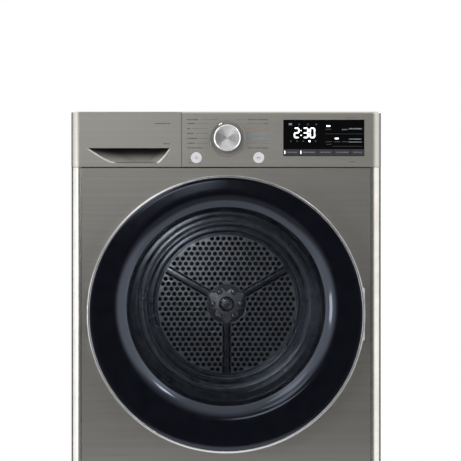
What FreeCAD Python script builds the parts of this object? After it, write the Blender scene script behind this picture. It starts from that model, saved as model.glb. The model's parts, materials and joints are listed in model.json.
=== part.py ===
import FreeCAD, Part
import math
import os
import re
import Sketcher
from FreeCAD import Rotation, Vector

# A 60 cm heat-pump clothes dryer.  X is right, +Y is the back, +Z is up, and the origin is
# on the floor, under the middle of the whole machine.

doc = FreeCAD.newDocument("ClothesDryer")
sheet = doc.addObject("Spreadsheet::Sheet", "Sizes")

SIZES = [
    ("cab_width", 600, "cabinet, outside"),
    ("cab_height", 850, "floor to worktop"),
    ("cab_depth", 640, "front panel face to rear panel face"),
    ("door_proud", 40, "door front ahead of the front panel"),
    ("rear_proud", 10, "spigot and inlet behind the rear panel"),
    ("sheet_skin", 1, "steel sheet"),
    ("seam_gap", 0.4, "gap beside a panel edge"),
    ("fit_gap", 0.3, "gap between curved faces"),
    ("run_gap", 0.05, "radial clearance of a running fit"),
    ("corner_round", 18, "front vertical corners"),
    ("corner_wrap", 20.5, "how far a side panel wraps on to the front"),
    ("edge_round", 3.5, "top outer edges"),
    ("band_height", 107.4, "control panel and drawer front"),
    ("band_proud", 4, "control panel face ahead of the front panel"),
    ("band_depth", 45, "control panel behind the front panel face"),
    ("band_skin", 3, "moulded wall of the control panel"),
    ("top_thick", 24, "worktop board"),
    ("vent_left", 100, "rear vent slots, left end"),
    ("grille_left", 90, "front grille slots, left end"),
    ("vent_right", 240, "vent and grille slots, right end"),
    ("vent_low", 70, "lowest vent and grille slot"),
    ("vent_pitch", 16, "rear vent slots"),
    ("vent_slot", 7, "rear vent slot"),
    ("grille_pitch", 12, "front grille slots"),
    ("grille_slot", 5, "front grille slot"),
    ("drawer_width", 214, "drawer front"),
    ("drawer_thick", 22, "drawer front, front to back"),
    ("base_lift", 15, "underside of the base above the floor"),
    ("base_floor", 6, "base tray floor"),
    ("base_wall", 3, "base tray wall"),
    ("base_rise", 45, "base tray height"),
    ("base_set", 14, "base tray behind the front panel face"),
    ("base_inset", 3, "base tray inside the side and rear panels"),
    ("boss_rise", 33, "foot boss"),
    ("boss_wall", 7, "foot boss round its bore"),
    ("cradle_set", 10, "motor cradle inside the ends of the motor"),
    ("cradle_drop", 28, "motor cradle's top below the motor axis"),
    ("post_half", 12, "half width of the idler post"),
    ("post_front", -24, "idler post, front face"),
    ("post_thick", 14, "idler post"),
    ("foot_radius", 22, "foot pad"),
    ("foot_pad", 12, "foot pad height"),
    ("stud_radius", 5, "foot stud"),
    ("foot_inset", 50, "foot centre from the side"),
    ("foot_set", 45, "foot centre from front and rear"),
    ("door_centre", 460, "height of the door ring and drum axis"),
    ("door_radius", 267.3, "chrome ring, outside"),
    ("trim_wall", 5.3, "chrome ring wall"),
    ("door_back", 3, "gap between door and front panel"),
    ("cover_set", 2, "black cover behind the ring's front edge"),
    ("cover_skin", 3, "black cover"),
    ("window_lift", 14, "window centre above door centre"),
    ("rim_width", 41, "flat rim of the black cover"),
    ("funnel_width", 38, "funnel, mouth to clear window"),
    ("window_skin", 4, "window glass"),
    ("bowl_depth", 52, "glass bowl behind its rim"),
    ("bowl_lean", 18, "how much the glass bowl narrows to its back"),
    ("door_overlap", 42.3, "door ring beyond the opening in the front panel"),
    ("gasket_width", 8, "door gasket"),
    ("latch_inset", 21.3, "latch centre inside the door ring's outer edge"),
    ("latch_width", 24, "latch housing"),
    ("latch_mouth", 16, "latch slot, across"),
    ("latch_half", 24, "half height of the latch housing"),
    ("hinge_room", 45.3, "hinge notch, in from the door ring's outer edge"),
    ("grip_room", 15.3, "grip notch, in from the door ring's outer edge"),
    ("grip_half", 45, "half height of the grip notch"),
    ("grip_thick", 21, "grip notch ahead of the front panel"),
    ("hinge_inset", 6.3, "hinge pin inside the door ring's outer edge"),
    ("hinge_ahead", 25, "hinge pin ahead of the front panel"),
    ("pin_radius", 3, "hinge pin"),
    ("knuckle_radius", 6, "hinge knuckle"),
    ("knuckle_half", 27, "half height of the moving knuckle"),
    ("bracket_half", 50, "half height of the hinge bracket"),
    ("notch_half", 56, "half height of the hinge notch in the door"),
    ("support_set", 69, "drum front support behind the front panel face"),
    ("support_skin", 2, "drum front support sheet"),
    ("throat_inset", 25, "how much the loading throat narrows to the drum"),
    ("drum_gap", 8, "drum lip behind its front support"),
    ("drum_radius", 287, "drum, outside"),
    ("drum_skin", 1, "drum sheet"),
    ("drum_length", 468, "drum lip to drum rear panel"),
    ("lip_overlap", 15, "drum mouth beyond the loading throat"),
    ("lifter_height", 47, "lifter paddle"),
    ("lifter_foot", 28, "half width of a lifter at the drum"),
    ("lifter_crest", 12, "half width of a lifter at its crest"),
    ("lifter_set", 40, "lifter in from both ends of the drum"),
    ("hole_radius", 4.6, "hole in the drum rear panel"),
    ("hole_pitch", 12.7, "spacing of those holes"),
    ("field_inner", 43, "perforated sector, inner radius"),
    ("field_outer", 151, "perforated sector, outer radius"),
    ("rib_half", 8, "half width of the plain rib between sectors"),
    ("hub_radius", 35, "hub plate"),
    ("hub_thick", 4, "hub plate"),
    ("arm_reach", 25, "hub arm, centre of its round end"),
    ("arm_radius", 14, "hub arm, round end"),
    ("bolt_set", 4.5, "hub bolts inside the hub plate's edge"),
    ("shaft_radius", 12, "drum shaft"),
    ("duct_radius", 190, "rear air duct"),
    ("duct_gap", 12, "rear duct behind the drum rear panel"),
    ("roller_radius", 35, "support roller"),
    ("roller_width", 20, "support roller"),
    ("roller_angle", 50, "roller below the drum axis, from level"),
    ("axle_radius", 5, "roller axle"),
    ("belt_thick", 2.2, "drive belt"),
    ("belt_width", 9, "drive belt"),
    ("belt_place", -42, "middle of the belt"),
    ("motor_x", 205, "drum motor axis"),
    ("motor_below", 55, "drum motor axis below the bottom of the drum"),
    ("motor_radius", 45, "drum motor"),
    ("motor_front", -20, "drum motor, front end"),
    ("motor_back", 70, "drum motor, rear end"),
    ("nose_radius", 14, "bearing nose of the drum motor"),
    ("nose_length", 6, "bearing nose of the drum motor"),
    ("motor_shaft", 6, "motor shaft radius"),
    ("pulley_radius", 9, "motor pulley"),
    ("idler_x", 120, "idler pulley axis"),
    ("idler_below", 53, "idler pulley axis below the bottom of the drum"),
    ("idler_radius", 20, "idler pulley"),
    ("pivot_x", 90, "idler arm pivot"),
    ("pivot_below", 50, "idler arm pivot below the idler pulley"),
    ("pivot_radius", 4, "idler arm and idler pulley axles"),
    ("blower_x", -130, "blower axis"),
    ("blower_z", 150, "blower axis height"),
    ("fan_radius", 75, "blower wheel"),
    ("blower_gap", 14, "blower wheel to housing wall"),
    ("fan_blades", 18, "blades of the blower wheel"),
    ("fan_can", 32, "blower motor radius"),
    ("fan_can_length", 40, "blower motor"),
    ("chimney_half", 35, "half width of the chimney"),
    ("duct_low_right", -58, "heat-pump duct, right wall"),
    ("duct_low_top", 168, "heat-pump duct, top"),
    ("fin_count", 18, "fins of a heat exchanger"),
    ("fin_skin", 1.2, "fin sheet"),
    ("pipe_radius", 3.5, "refrigerant pipe"),
    ("hose_radius", 5, "condensate hose"),
    ("tank_wall", 2, "water tank wall"),
    ("tank_length", 400, "water tank"),
    ("tank_top", 818, "water tank top"),
    ("tray_floor", 746, "underside of the tank tray"),
    ("tray_wall", 2, "tank tray wall"),
    ("slide_gap", 1, "clearance of the tank in its tray"),
    ("knob_x", 2.3, "programme knob axis"),
    ("knob_z", 798.3, "programme knob axis height"),
    ("knob_radius", 25.9, "programme knob"),
    ("knob_proud", 32, "knob face ahead of the front panel face"),
    ("dish_radius", 35.2, "ring round the knob"),
    ("dish_depth", 0.8, "ring round the knob"),
    ("key_radius", 10.9, "power and start keys"),
    ("key_z", 761, "power and start keys"),
    ("power_x", -57.4, "power key"),
    ("start_x", 63, "start key"),
    ("display_left", 110.4, "display"),
    ("display_right", 267, "display"),
    ("display_low", 764.1, "display"),
    ("display_high", 834.4, "display"),
    ("pocket_left", -268.8, "drawer grip pocket, top edge"),
    ("pocket_right", -108.4, "drawer grip pocket, top edge"),
    ("pocket_high", 779.6, "drawer grip pocket, top edge"),
    ("pocket_low", 750.8, "drawer grip pocket, ledge"),
    ("ledge_left", -220, "drawer grip pocket, ledge"),
    ("ledge_right", -133, "drawer grip pocket, ledge"),
    ("pocket_depth", 14, "drawer grip pocket"),
    ("filter_half", 110, "half width of the lint filter"),
    ("filter_thick", 14, "lint filter"),
    ("filter_low", 136, "lint filter, bottom"),
    ("filter_rise", 2, "lint filter's top above the bottom of the throat"),
    ("spigot_radius", 8, "drain spigot"),
    ("spigot_bore", 6, "drain spigot bore"),
    ("spigot_collar", 2, "spigot collar through the rear sheet"),
    ("spigot_x", -240, "drain spigot"),
    ("spigot_z", 660, "drain spigot"),
    ("inlet_x", 228, "power inlet"),
    ("inlet_z", 708, "power inlet"),
    ("inlet_side", 36, "hole for the power inlet"),
    ("screw_radius", 4.5, "cabinet screw head"),
    ("screw_shank", 1.9, "cabinet screw shank"),
]
for row, (alias, number, meaning) in enumerate(SIZES, start=1):
    sheet.set(f"A{row}", alias)
    sheet.set(f"B{row}", str(number))
    sheet.setAlias(f"B{row}", alias)
    sheet.set(f"C{row}", meaning)
doc.recompute()


# ---- expressions --------------------------------------------------------------------------

FOLLOWING = {
    "hinge_x": "(door_radius - hinge_inset)",
    "panel_hole": "(door_radius - door_overlap)",
    "throat_radius": "(panel_hole - throat_inset)",
    "lip_radius": "(throat_radius + lip_overlap)",
    "filter_high": "(door_centre - throat_radius + filter_rise)",
    "funnel_radius": "(door_radius - trim_wall - rim_width)",
    "window_radius": "(funnel_radius - funnel_width)",
    "bowl_radius": "(window_radius - bowl_lean)",
    "motor_z": "(door_centre - drum_radius - motor_below)",
    "idler_z": "(door_centre - drum_radius - idler_below)",
    "pivot_z": "(idler_z - pivot_below)",
}
NAME = re.compile(r"\b[a-z]+(?:_[a-z]+)+\b")


def full(expression):
    """Spell out the sizes that follow others, then turn alias names, which all hold an
    underscore, into references to the sheet."""
    spelt = str(expression)
    while any(name in FOLLOWING for name in NAME.findall(spelt)):
        spelt = NAME.sub(lambda found: FOLLOWING.get(found.group(0), found.group(0)), spelt)
    return NAME.sub(r"Sizes.\g<0>", spelt)


def value(expression):
    return float(sheet.evalExpression(full(expression)))


def bind(thing, **sizes):
    for name, expression in sizes.items():
        thing.setExpression(name, full(expression))


def place(thing, x="0", y="0", z="0"):
    for name, expression in (("x", x), ("y", y), ("z", z)):
        thing.setExpression(f"Placement.Base.{name}", full(expression))


# ---- primitives and booleans --------------------------------------------------------------

TURN = {"x": Rotation(Vector(0, 1, 0), 90), "y": Rotation(Vector(1, 0, 0), -90),
        "z": Rotation()}


def box(name, x, y, z):
    """A box between pairs of limits."""
    made = doc.addObject("Part::Box", name)
    bind(made, Length=f"({x[1]}) - ({x[0]})", Width=f"({y[1]}) - ({y[0]})",
         Height=f"({z[1]}) - ({z[0]})")
    place(made, x[0], y[0], z[0])
    return made


def rod(name, axis, centre, radius, span):
    """A cylinder along an axis; centre holds the other two coordinates, in X, Y, Z order."""
    made = doc.addObject("Part::Cylinder", name)
    bind(made, Radius=radius, Height=f"({span[1]}) - ({span[0]})")
    made.Placement.Rotation = TURN[axis]
    at = list(centre)
    at.insert("xyz".index(axis), span[0])
    place(made, *at)
    return made


def together(name, things, kind="Part::MultiFuse"):
    made = doc.addObject(kind, name)
    setattr(made, "Links" if kind == "Part::Compound" else "Shapes", list(things))
    return made


def fuse(name, *things):
    return together(name, things)


def cut(name, base, *tools):
    made = doc.addObject("Part::Cut", name)
    made.Base = base
    made.Tool = tools[0] if len(tools) == 1 else together(name + "_tools", tools)
    return made


def shell(name, x, y, z, wall, open_side):
    """A box with walls, open on one side, such as +z or -y."""
    sign, axis = open_side
    inner = [[f"({low}) + ({wall})", f"({high}) - ({wall})"] for low, high in (x, y, z)]
    limits = inner["xyz".index(axis)]
    outer = (x, y, z)["xyz".index(axis)]
    end = 1 if sign == "+" else 0
    limits[end] = f"({outer[end]}) {sign} 1"
    return cut(name, box(name + "_outer", x, y, z), box(name + "_inner", *inner))


def tube(name, axis, centre, outer, inner, span):
    return cut(name, rod(name + "_outer", axis, centre, outer, span),
               rod(name + "_bore", axis, centre, inner, (f"({span[0]}) - 1", f"({span[1]}) + 1")))


# ---- sketched bodies ----------------------------------------------------------------------

PLANES = {"x": "YZ_Plane", "y": "XZ_Plane", "z": "XY_Plane"}


def sketched(name, plane, outline):
    """A body with a closed outline of straight runs, every point bound to the sheet."""
    body = doc.addObject("PartDesign::Body", name)
    sketch = body.newObject("Sketcher::SketchObject", name + "_sketch")
    origin = [plate for plate in body.Origin.OriginFeatures if plate.Role == plane][0]
    sketch.AttachmentSupport = [(origin, "")]
    sketch.MapMode = "FlatFace"
    points = [Vector(value(across), value(up), 0) for across, up in outline]
    count = len(points)
    sketch.addGeometry([Part.LineSegment(points[i], points[(i + 1) % count])
                        for i in range(count)], False)
    sketch.addConstraint([Sketcher.Constraint("Coincident", i, 2, (i + 1) % count, 1)
                          for i in range(count)])
    for i, (across, up) in enumerate(outline):
        for kind, expression, now, axis in (("DistanceX", across, points[i].x, -2),
                                            ("DistanceY", up, points[i].y, -1)):
            if expression == "0":
                sketch.addConstraint(Sketcher.Constraint("PointOnObject", i, 1, axis))
            else:
                rule = sketch.addConstraint(Sketcher.Constraint(kind, -1, 1, i, 1, now))
                sketch.setExpression(f"Constraints[{rule}]", full(expression))
    return body, sketch


def prism(name, axis, outline, span):
    """An outline pushed along an axis.  Its points are (y, z), (x, z) or (x, y)."""
    body, sketch = sketched(name, PLANES[axis], outline)
    pad = body.newObject("PartDesign::Pad", name + "_pad")
    pad.Profile = sketch
    bind(pad, Length=f"({span[1]}) - ({span[0]})")
    start = span[1] if axis == "y" else span[0]
    place(body, **{axis: start})
    doc.recompute()
    return body


def turned(name, profile, axis="y", at=("0", "0")):
    """A profile of (radius, height along the axis) points turned about an axis."""
    body, sketch = sketched(name, "XY_Plane" if axis == "y" else "XZ_Plane", profile)
    turn = body.newObject("PartDesign::Revolution", name + "_turn")
    turn.Profile = sketch
    turn.ReferenceAxis = (sketch, ["V_Axis"])
    turn.Angle = 360
    if axis == "y":
        place(body, x=at[0], z=at[1])
    else:
        place(body, x=at[0], y=at[1])
    doc.recompute()
    return body


def soften(body, points, radius):
    """Round the edges of a body that pass through the given points, in its own frame."""
    base = body.Tip
    spots = [Part.Vertex(*[value(number) for number in point]) for point in points]
    near = 0.01
    names = [f"Edge{i}" for i, edge in enumerate(base.Shape.Edges, start=1)
             if any(spot.distToShape(edge)[0] < near for spot in spots)]
    made = body.newObject("PartDesign::Fillet", base.Name + "_round")
    made.Base = (base, names)
    bind(made, Radius=radius)
    doc.recompute()
    return body


def feature(name, shape):
    made = doc.addObject("Part::Feature", name)
    made.Shape = shape
    return made


nodes = []


def node(name, thing):
    thing.Label = name
    nodes.append(thing)
    return thing


# ---- shared places ------------------------------------------------------------------------

FRONT = "((door_proud - cab_depth - rear_proud) / 2)"
REAR = f"({FRONT} + cab_depth)"
SIDE = "(cab_width / 2)"
BAND_LOW = "(cab_height - band_height)"
BAND_FACE = f"({FRONT} - band_proud)"
BAND_BACK = f"({FRONT} + band_depth)"
BAND_FOOT = f"({BAND_LOW} + 2 * seam_gap)"
SEAM_X = f"(drawer_width - {SIDE})"
FLOOR = "(base_lift + base_floor)"
DOOR_FACE = f"({FRONT} - door_proud)"
DOOR_REAR = f"({FRONT} - door_back)"
COVER_FACE = f"({DOOR_FACE} + cover_set)"
COVER_BACK = f"({COVER_FACE} + cover_skin)"
TRIM_INNER = "(door_radius - trim_wall)"
WINDOW_Z = "(door_centre + window_lift)"
WEB_BACK = f"({DOOR_REAR} - 1)"
WEB_FRONT = f"({WEB_BACK} - cover_skin)"
HINGE_Y = f"({FRONT} - hinge_ahead)"
SUPPORT = f"({FRONT} + support_set)"
SUPPORT_BACK = f"({SUPPORT} + support_skin)"
DRUM_FRONT = f"({SUPPORT_BACK} + drum_gap)"
DRUM_BACK = f"({DRUM_FRONT} + drum_length)"
DRUM_END = f"({DRUM_BACK} + drum_skin)"
DUCT_FRONT = f"({DRUM_BACK} + duct_gap)"
DUCT_BACK = f"({REAR} - 5)"
DRAWER_BACK = f"({BAND_FACE} + drawer_thick)"
AXIS = ("0", "door_centre")
PAN_Y = (f"({SUPPORT} + 21)", f"({DRUM_BACK} - 27)")
MOTOR_Y = ("motor_front", "motor_back")


def around(middle, half):
    return f"({middle}) - ({half})", f"({middle}) + ({half})"


def between(half):
    return f"-({half})", f"({half})"


# ---- cabinet ------------------------------------------------------------------------------

def base_tray():
    """Moulded base with foot bosses, a motor cradle and the idler arm's post."""
    x = between(f"{SIDE} - base_inset")
    y = (f"{FRONT} + base_set", f"{REAR} - base_inset")
    low = "base_lift"
    pan = cut("base_pan", box("base_block", x, y, (low, f"{low} + base_rise")),
              box("base_hollow", between(f"{SIDE} - base_inset - base_wall"),
                  (f"{y[0]} + base_wall", f"{y[1]} - base_wall"), (FLOOR, f"{low} + base_rise + 1")))
    solids = [pan]
    bores = []
    for i, (foot_x, foot_y) in enumerate(FOOT_PLACES):
        solids.append(rod(f"foot_boss_{i}", "z", (foot_x, foot_y), "stud_radius + boss_wall",
                          (low, f"{low} + boss_rise")))
        bores.append(rod(f"foot_bore_{i}", "z", (foot_x, foot_y), "stud_radius + run_gap",
                         (f"{low} - 1", f"{low} + boss_rise + 1")))
    cradle_y = (f"{MOTOR_Y[0]} + cradle_set", f"{MOTOR_Y[1]} - cradle_set")
    solids.append(cut("motor_cradle",
                      box("cradle_block", around("motor_x", "motor_radius - 5"), cradle_y,
                          (low, "motor_z - cradle_drop")),
                      rod("cradle_seat", "y", ("motor_x", "motor_z"), "motor_radius + fit_gap",
                          MOTOR_Y)))
    solids.append(box("idler_post", around("pivot_x", "post_half"),
                      ("post_front", "post_front + post_thick"), (low, "pivot_z + post_half")))
    solids.append(rod("idler_post_axle", "y", ("pivot_x", "pivot_z"), "pivot_radius",
                      ("post_front - 10", "post_front + 4")))
    return cut("base_tray", fuse("base_solid", *solids), *bores)


FOOT_PLACES = [(f"{side} * ({SIDE} - foot_inset)", place_y)
               for side in (-1, 1)
               for place_y in (f"{FRONT} + foot_set", f"{REAR} - foot_set")]


def side_panel(side, sign):
    """Side sheet that wraps round the front corner and turns in at the rear."""
    band_rear = DRAWER_BACK if side == "left" else BAND_BACK
    name = f"side_panel_{side}"
    edge, inner = f"{SIDE} - corner_wrap", f"{SIDE} - sheet_skin"
    low, high = "base_lift + 1", "cab_height - top_thick - seam_gap"
    height = f"({high}) - ({low})"

    def block(label, x_out, x_in, y_front, y_back, radius, margin):
        outline = [(f"{sign} * ({x_in})", y_front), (f"{sign} * ({x_out})", y_front),
                   (f"{sign} * ({x_out})", y_back), (f"{sign} * ({x_in})", y_back)]
        body = prism(label, "z", outline, (f"{low} - {margin}", f"{high} + {margin}"))
        return soften(body, [(outline[1][0], y_front, f"({height}) / 2")], radius)

    outer = block(name + "_outer", SIDE, edge, FRONT, REAR, "corner_round", 0)
    hollow = block(name + "_hollow", inner, f"{edge} - 1", f"{FRONT} + sheet_skin",
                   f"{REAR} - sheet_skin", "corner_round - sheet_skin", 1)
    limits = sorted((f"{sign} * ({SIDE} + 1)", f"{sign} * ({edge} - 1)"), key=value)
    band_room = box(name + "_band_room", limits, (f"{FRONT} - 1", f"{band_rear} + seam_gap"),
                    (BAND_LOW, "cab_height"))
    return cut(name, outer, hollow, band_room)


def rear_panel():
    """Rear sheet with a vent, spigot and inlet holes."""
    half = f"{SIDE} - corner_wrap - seam_gap"
    y = (f"{REAR} - sheet_skin", REAR)
    through = (f"{REAR} - sheet_skin - 1", f"{REAR} + 1")
    blank = box("rear_sheet", between(half), y, ("base_lift + 5", "cab_height - top_thick - 1"))
    slots = [box(f"rear_slot_{i}", ("vent_left", "vent_right"), through,
                 (f"vent_low + {i} * vent_pitch", f"vent_low + {i} * vent_pitch + vent_slot"))
             for i in range(8)]
    holes = [rod(f"screw_hole_{i}", "y", spot, "screw_shank + 0.1", through)
             for i, spot in enumerate(SCREW_PLACES)]
    spigot = rod("spigot_hole", "y", ("spigot_x", "spigot_z"),
                 "spigot_radius + spigot_collar + fit_gap", through)
    inlet = box("inlet_hole", INLET_X, through, INLET_Z)
    return cut("rear_panel", blank, spigot, inlet, *slots, *holes)


SCREW_PLACES = [(f"{side} * ({SIDE} - corner_wrap - 10)", height)
                for side in (-1, 1) for height in ("100", "340", "580", "cab_height - 50")]
INLET_X = around("inlet_x", "inlet_side / 2")
INLET_Z = around("inlet_z", "inlet_side / 2")


def cabinet_screws():
    """Eight pan-head screws that hold the rear panel."""
    screws = []
    for i, spot in enumerate(SCREW_PLACES):
        head = rod(f"screw_head_{i}", "y", spot, "screw_radius", (REAR, f"{REAR} + 2.4"))
        shank = rod(f"screw_shank_{i}", "y", spot, "screw_shank", (f"{REAR} - 6", f"{REAR} + 1"))
        cross = box(f"screw_cross_{i}", around(spot[0], "0.6"), (f"{REAR} + 1.2", f"{REAR} + 3"),
                    around(spot[1], "2.6"))
        screws.append(cut(f"screw_{i}", fuse(f"screw_blank_{i}", head, shank), cross))
    return together("cabinet_screws", screws, "Part::Compound")


def top_plate():
    """Worktop board, stepped forward over the drawer."""
    outline = [(f"-{SIDE}", f"{DRAWER_BACK} + seam_gap"),
               (f"{SEAM_X} - seam_gap", f"{DRAWER_BACK} + seam_gap"),
               (f"{SEAM_X} - seam_gap", f"{BAND_BACK} + seam_gap"),
               (SIDE, f"{BAND_BACK} + seam_gap"), (SIDE, REAR), (f"-{SIDE}", REAR)]
    board = prism("top_plate", "z", outline, ("cab_height - top_thick", "cab_height"))
    soften(board, [(f"-{SIDE}", REAR, "top_thick / 2"), (SIDE, REAR, "top_thick / 2")], "6")
    return soften(board, [(SIDE, "0", "top_thick"), (f"-{SIDE}", "0", "top_thick"),
                          ("0", REAR, "top_thick")], "edge_round")


def front_panel():
    """Front sheet with the round door opening, returned edges and an air grille."""
    half = f"{SIDE} - corner_wrap - seam_gap"
    low, high = "base_lift + 1", f"{BAND_LOW} - seam_gap"
    outline = [(f"-({half})", low), (half, low), (half, high), (f"-({half})", high)]
    body = prism("front_blank", "y", outline, (FRONT, f"{FRONT} + 12"))
    soften(body, [("0", "-12", high)], "2")
    through = (f"{FRONT} - 1", f"{FRONT} + 3")
    hollow = box("front_hollow", between(f"{half} - sheet_skin"),
                 (f"{FRONT} + sheet_skin", f"{FRONT} + 13"),
                 (f"{low} + sheet_skin", f"{high} - sheet_skin"))
    hole = rod("door_hole", "y", AXIS, "panel_hole", through)
    latch = box("latch_hole", LATCH_SLOT_X, through, LATCH_SLOT_Z)
    slots = [box(f"grille_slot_{i}", ("grille_left", "vent_right"), through,
                 (f"vent_low + {i} * grille_pitch", f"vent_low + {i} * grille_pitch + grille_slot"))
             for i in range(7)]
    return cut("front_panel", body, hollow, hole, latch, *slots)


LATCH_X = "(latch_inset - door_radius)"
LATCH_SLOT_X = around(LATCH_X, "latch_mouth / 2")
LATCH_SLOT_Z = around("door_centre", "14")


# ---- control band -------------------------------------------------------------------------

def band_block(name, x, y, z, side, radius):
    """A block whose outer front corner and outer top edge are rounded."""
    outline = [(x[0], z[0]), (x[1], z[0]), (x[1], z[1]), (x[0], z[1])]
    body = prism(name, "y", outline, y)
    depth = f"({y[1]}) - ({y[0]})"
    soften(body, [(side, f"-({depth})", f"({z[0]} + {z[1]}) / 2")], radius)
    return body


def control_fascia():
    """Moulded control panel, open at the back, with holes for display, knob and keys."""
    left = f"{SEAM_X} + seam_gap"
    outer = band_block("fascia_outer", (left, SIDE), (BAND_FACE, BAND_BACK),
                       (BAND_FOOT, "cab_height"), SIDE, "corner_round")
    soften(outer, [(SIDE, "-5", "cab_height")], "edge_round")
    hollow = band_block("fascia_hollow", (f"{left} + band_skin", f"{SIDE} - band_skin"),
                        (f"{BAND_FACE} + band_skin", f"{BAND_BACK} + 1"),
                        (f"{BAND_FOOT} + band_skin", "cab_height - band_skin"),
                        f"{SIDE} - band_skin", "corner_round - band_skin")
    through = (f"{BAND_FACE} - 1", f"{BAND_FACE} + band_skin + 1")
    window = box("display_hole", ("display_left", "display_right"), through,
                 ("display_low", "display_high"))
    dish = rod("knob_dish", "y", ("knob_x", "knob_z"), "dish_radius",
               (f"{BAND_FACE} - 1", f"{BAND_FACE} + dish_depth"))
    spindle = rod("knob_hole", "y", ("knob_x", "knob_z"), "pin_radius + run_gap", through)
    keys = [rod(f"{key}_hole", "y", (f"{key}_x", "key_z"), "key_radius + fit_gap", through)
            for key in ("power", "start")]
    return cut("control_fascia", outer, hollow, window, dish, spindle, *keys)


def display_window():
    return box("display_window", ("display_left + 0.2", "display_right - 0.2"),
               (BAND_FACE, f"{BAND_FACE} + band_skin"), ("display_low + 0.2", "display_high - 0.2"))


BOARD = f"({FRONT} + 12)"


def control_board():
    """Circuit board with the knob's encoder, key switches and the display module."""
    board = box("board_plate", (f"{SEAM_X} + 8", f"{SIDE} - 18"), (BOARD, f"{BOARD} + 2"),
                ("755", "838"))
    encoder = tube("knob_encoder", "y", ("knob_x", "knob_z"), "9", "pin_radius + run_gap",
                   (f"{BOARD} - 8", BOARD))
    switches = [box(f"{key}_switch", around(f"{key}_x", "4"), (f"{BOARD} - 1", BOARD),
                    around("key_z", "4")) for key in ("power", "start")]
    module = box("display_module", ("display_left + 4", "display_right - 4"),
                 (f"{BAND_FACE} + band_skin + 1", BOARD), ("display_low + 3", "display_high - 3"))
    relay = box("board_relay", ("40", "60"), (f"{BOARD} + 2", f"{BOARD} + 18"), ("780", "800"))
    return fuse("control_board", board, encoder, *switches, module, relay)


def program_knob():
    face = f"{FRONT} - knob_proud"
    back = f"{BAND_FACE} - 0.6"
    profile = [("0", face), ("knob_radius - 1.5", face), ("knob_radius", f"{face} + 1.5"),
               ("knob_radius", back), ("pin_radius", back), ("pin_radius", f"{BOARD} - 2"),
               ("0", f"{BOARD} - 2")]
    return turned("program_knob", profile, at=("knob_x", "knob_z"))


def key(name, key_x):
    """A round push key: cap, hidden flange and stem."""
    cap = f"{BAND_FACE} - 1.2"
    flange = f"{BAND_FACE} + band_skin + 0.2"
    profile = [("0", cap), ("key_radius", cap), ("key_radius", flange), ("key_radius + 1.6", flange),
               ("key_radius + 1.6", f"{flange} + 1.5"), ("3", f"{flange} + 1.5"),
               ("3", f"{BOARD} - 3.5"), ("0", f"{BOARD} - 3.5")]
    body = turned(name, profile, at=(key_x, "key_z"))
    return soften(body, [("key_radius", cap, "0")], "1")


# ---- condensate drawer --------------------------------------------------------------------

def drawer_front():
    """Drawer front with a scooped grip pocket that undercuts its top edge."""
    right = f"{SEAM_X} - seam_gap"
    block = band_block("drawer_block", (f"-{SIDE}", right), (BAND_FACE, DRAWER_BACK),
                       (BAND_FOOT, "cab_height"), f"-{SIDE}", "corner_round")
    soften(block, [(f"-{SIDE}", "-1", "cab_height")], "edge_round")
    depth = (f"{BAND_FACE} - 1", f"{BAND_FACE} + pocket_depth")
    outline = [("pocket_left", "pocket_high"), ("ledge_left", "pocket_low"),
               ("ledge_right", "pocket_low"), ("pocket_right", "pocket_high")]
    scoop = prism("drawer_scoop", "y", outline, depth)
    finger = box("drawer_finger_room", ("pocket_left + 8", "pocket_right - 8"),
                 (f"{BAND_FACE} + 5", f"{BAND_FACE} + pocket_depth"),
                 ("pocket_high - 1", "pocket_high + 10"))
    return cut("drawer_front", block, scoop, finger)


TRAY_X = (f"-({SIDE} - 3)", f"{SEAM_X} - 3")
TRAY_Y = (f"{DRAWER_BACK} + 2", f"{DRAWER_BACK} + tank_length + 12")
TANK_X = (f"{TRAY_X[0]} + tray_wall + slide_gap", f"{TRAY_X[1]} - tray_wall - slide_gap")
TANK_Y = (DRAWER_BACK, f"{DRAWER_BACK} + tank_length")
TANK_Z = ("tray_floor + tray_wall + slide_gap", "tank_top")


def water_tank():
    """Closed tank with a filling hole near its rear end."""
    outer = box("tank_outer", TANK_X, TANK_Y, TANK_Z)
    inner = box("tank_inner", *[(f"({low}) + tank_wall", f"({high}) - tank_wall")
                                for low, high in (TANK_X, TANK_Y, TANK_Z)])
    hole = rod("tank_hole", "z", (f"({TANK_X[0]} + {TANK_X[1]}) / 2", f"{TANK_Y[1]} - 40"), "22",
               ("tank_top - 5", "tank_top + 1"))
    return cut("water_tank", outer, inner, hole)


def tank_tray():
    """Tray that carries the tank and takes the pump's hose at its rear."""
    pan = shell("tray_pan", TRAY_X, TRAY_Y, ("tray_floor", "tank_top - 10"), "tray_wall", "+z")
    mouth = box("tray_mouth", TANK_X, (f"{TRAY_Y[0]} - 1", f"{TRAY_Y[0]} + tray_wall + 1"),
                ("tray_floor + tray_wall", "tank_top"))
    spout = rod("tray_hose_hole", "y", (HOSE_X, "tank_top - 33"), "hose_radius + fit_gap",
                (f"{TRAY_Y[1]} - tray_wall - 1", f"{TRAY_Y[1]} + 1"))
    return cut("tank_tray", pan, mouth, spout)


HOSE_X = "-190"


# ---- door ---------------------------------------------------------------------------------

def hinge_notch(name):
    """Room for the hinge in the right edge of the door, behind an unbroken front lip."""
    return box(name, ("door_radius - hinge_room", "door_radius + 5"),
               (f"{HINGE_Y} - knuckle_radius - 2", FRONT), around("door_centre", "notch_half"))


def grip_notch(name):
    """Finger room behind the left edge of the door."""
    return box(name, ("-door_radius - 5", "grip_room - door_radius"),
               (f"{FRONT} - grip_thick", FRONT), around("door_centre", "grip_half"))


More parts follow.
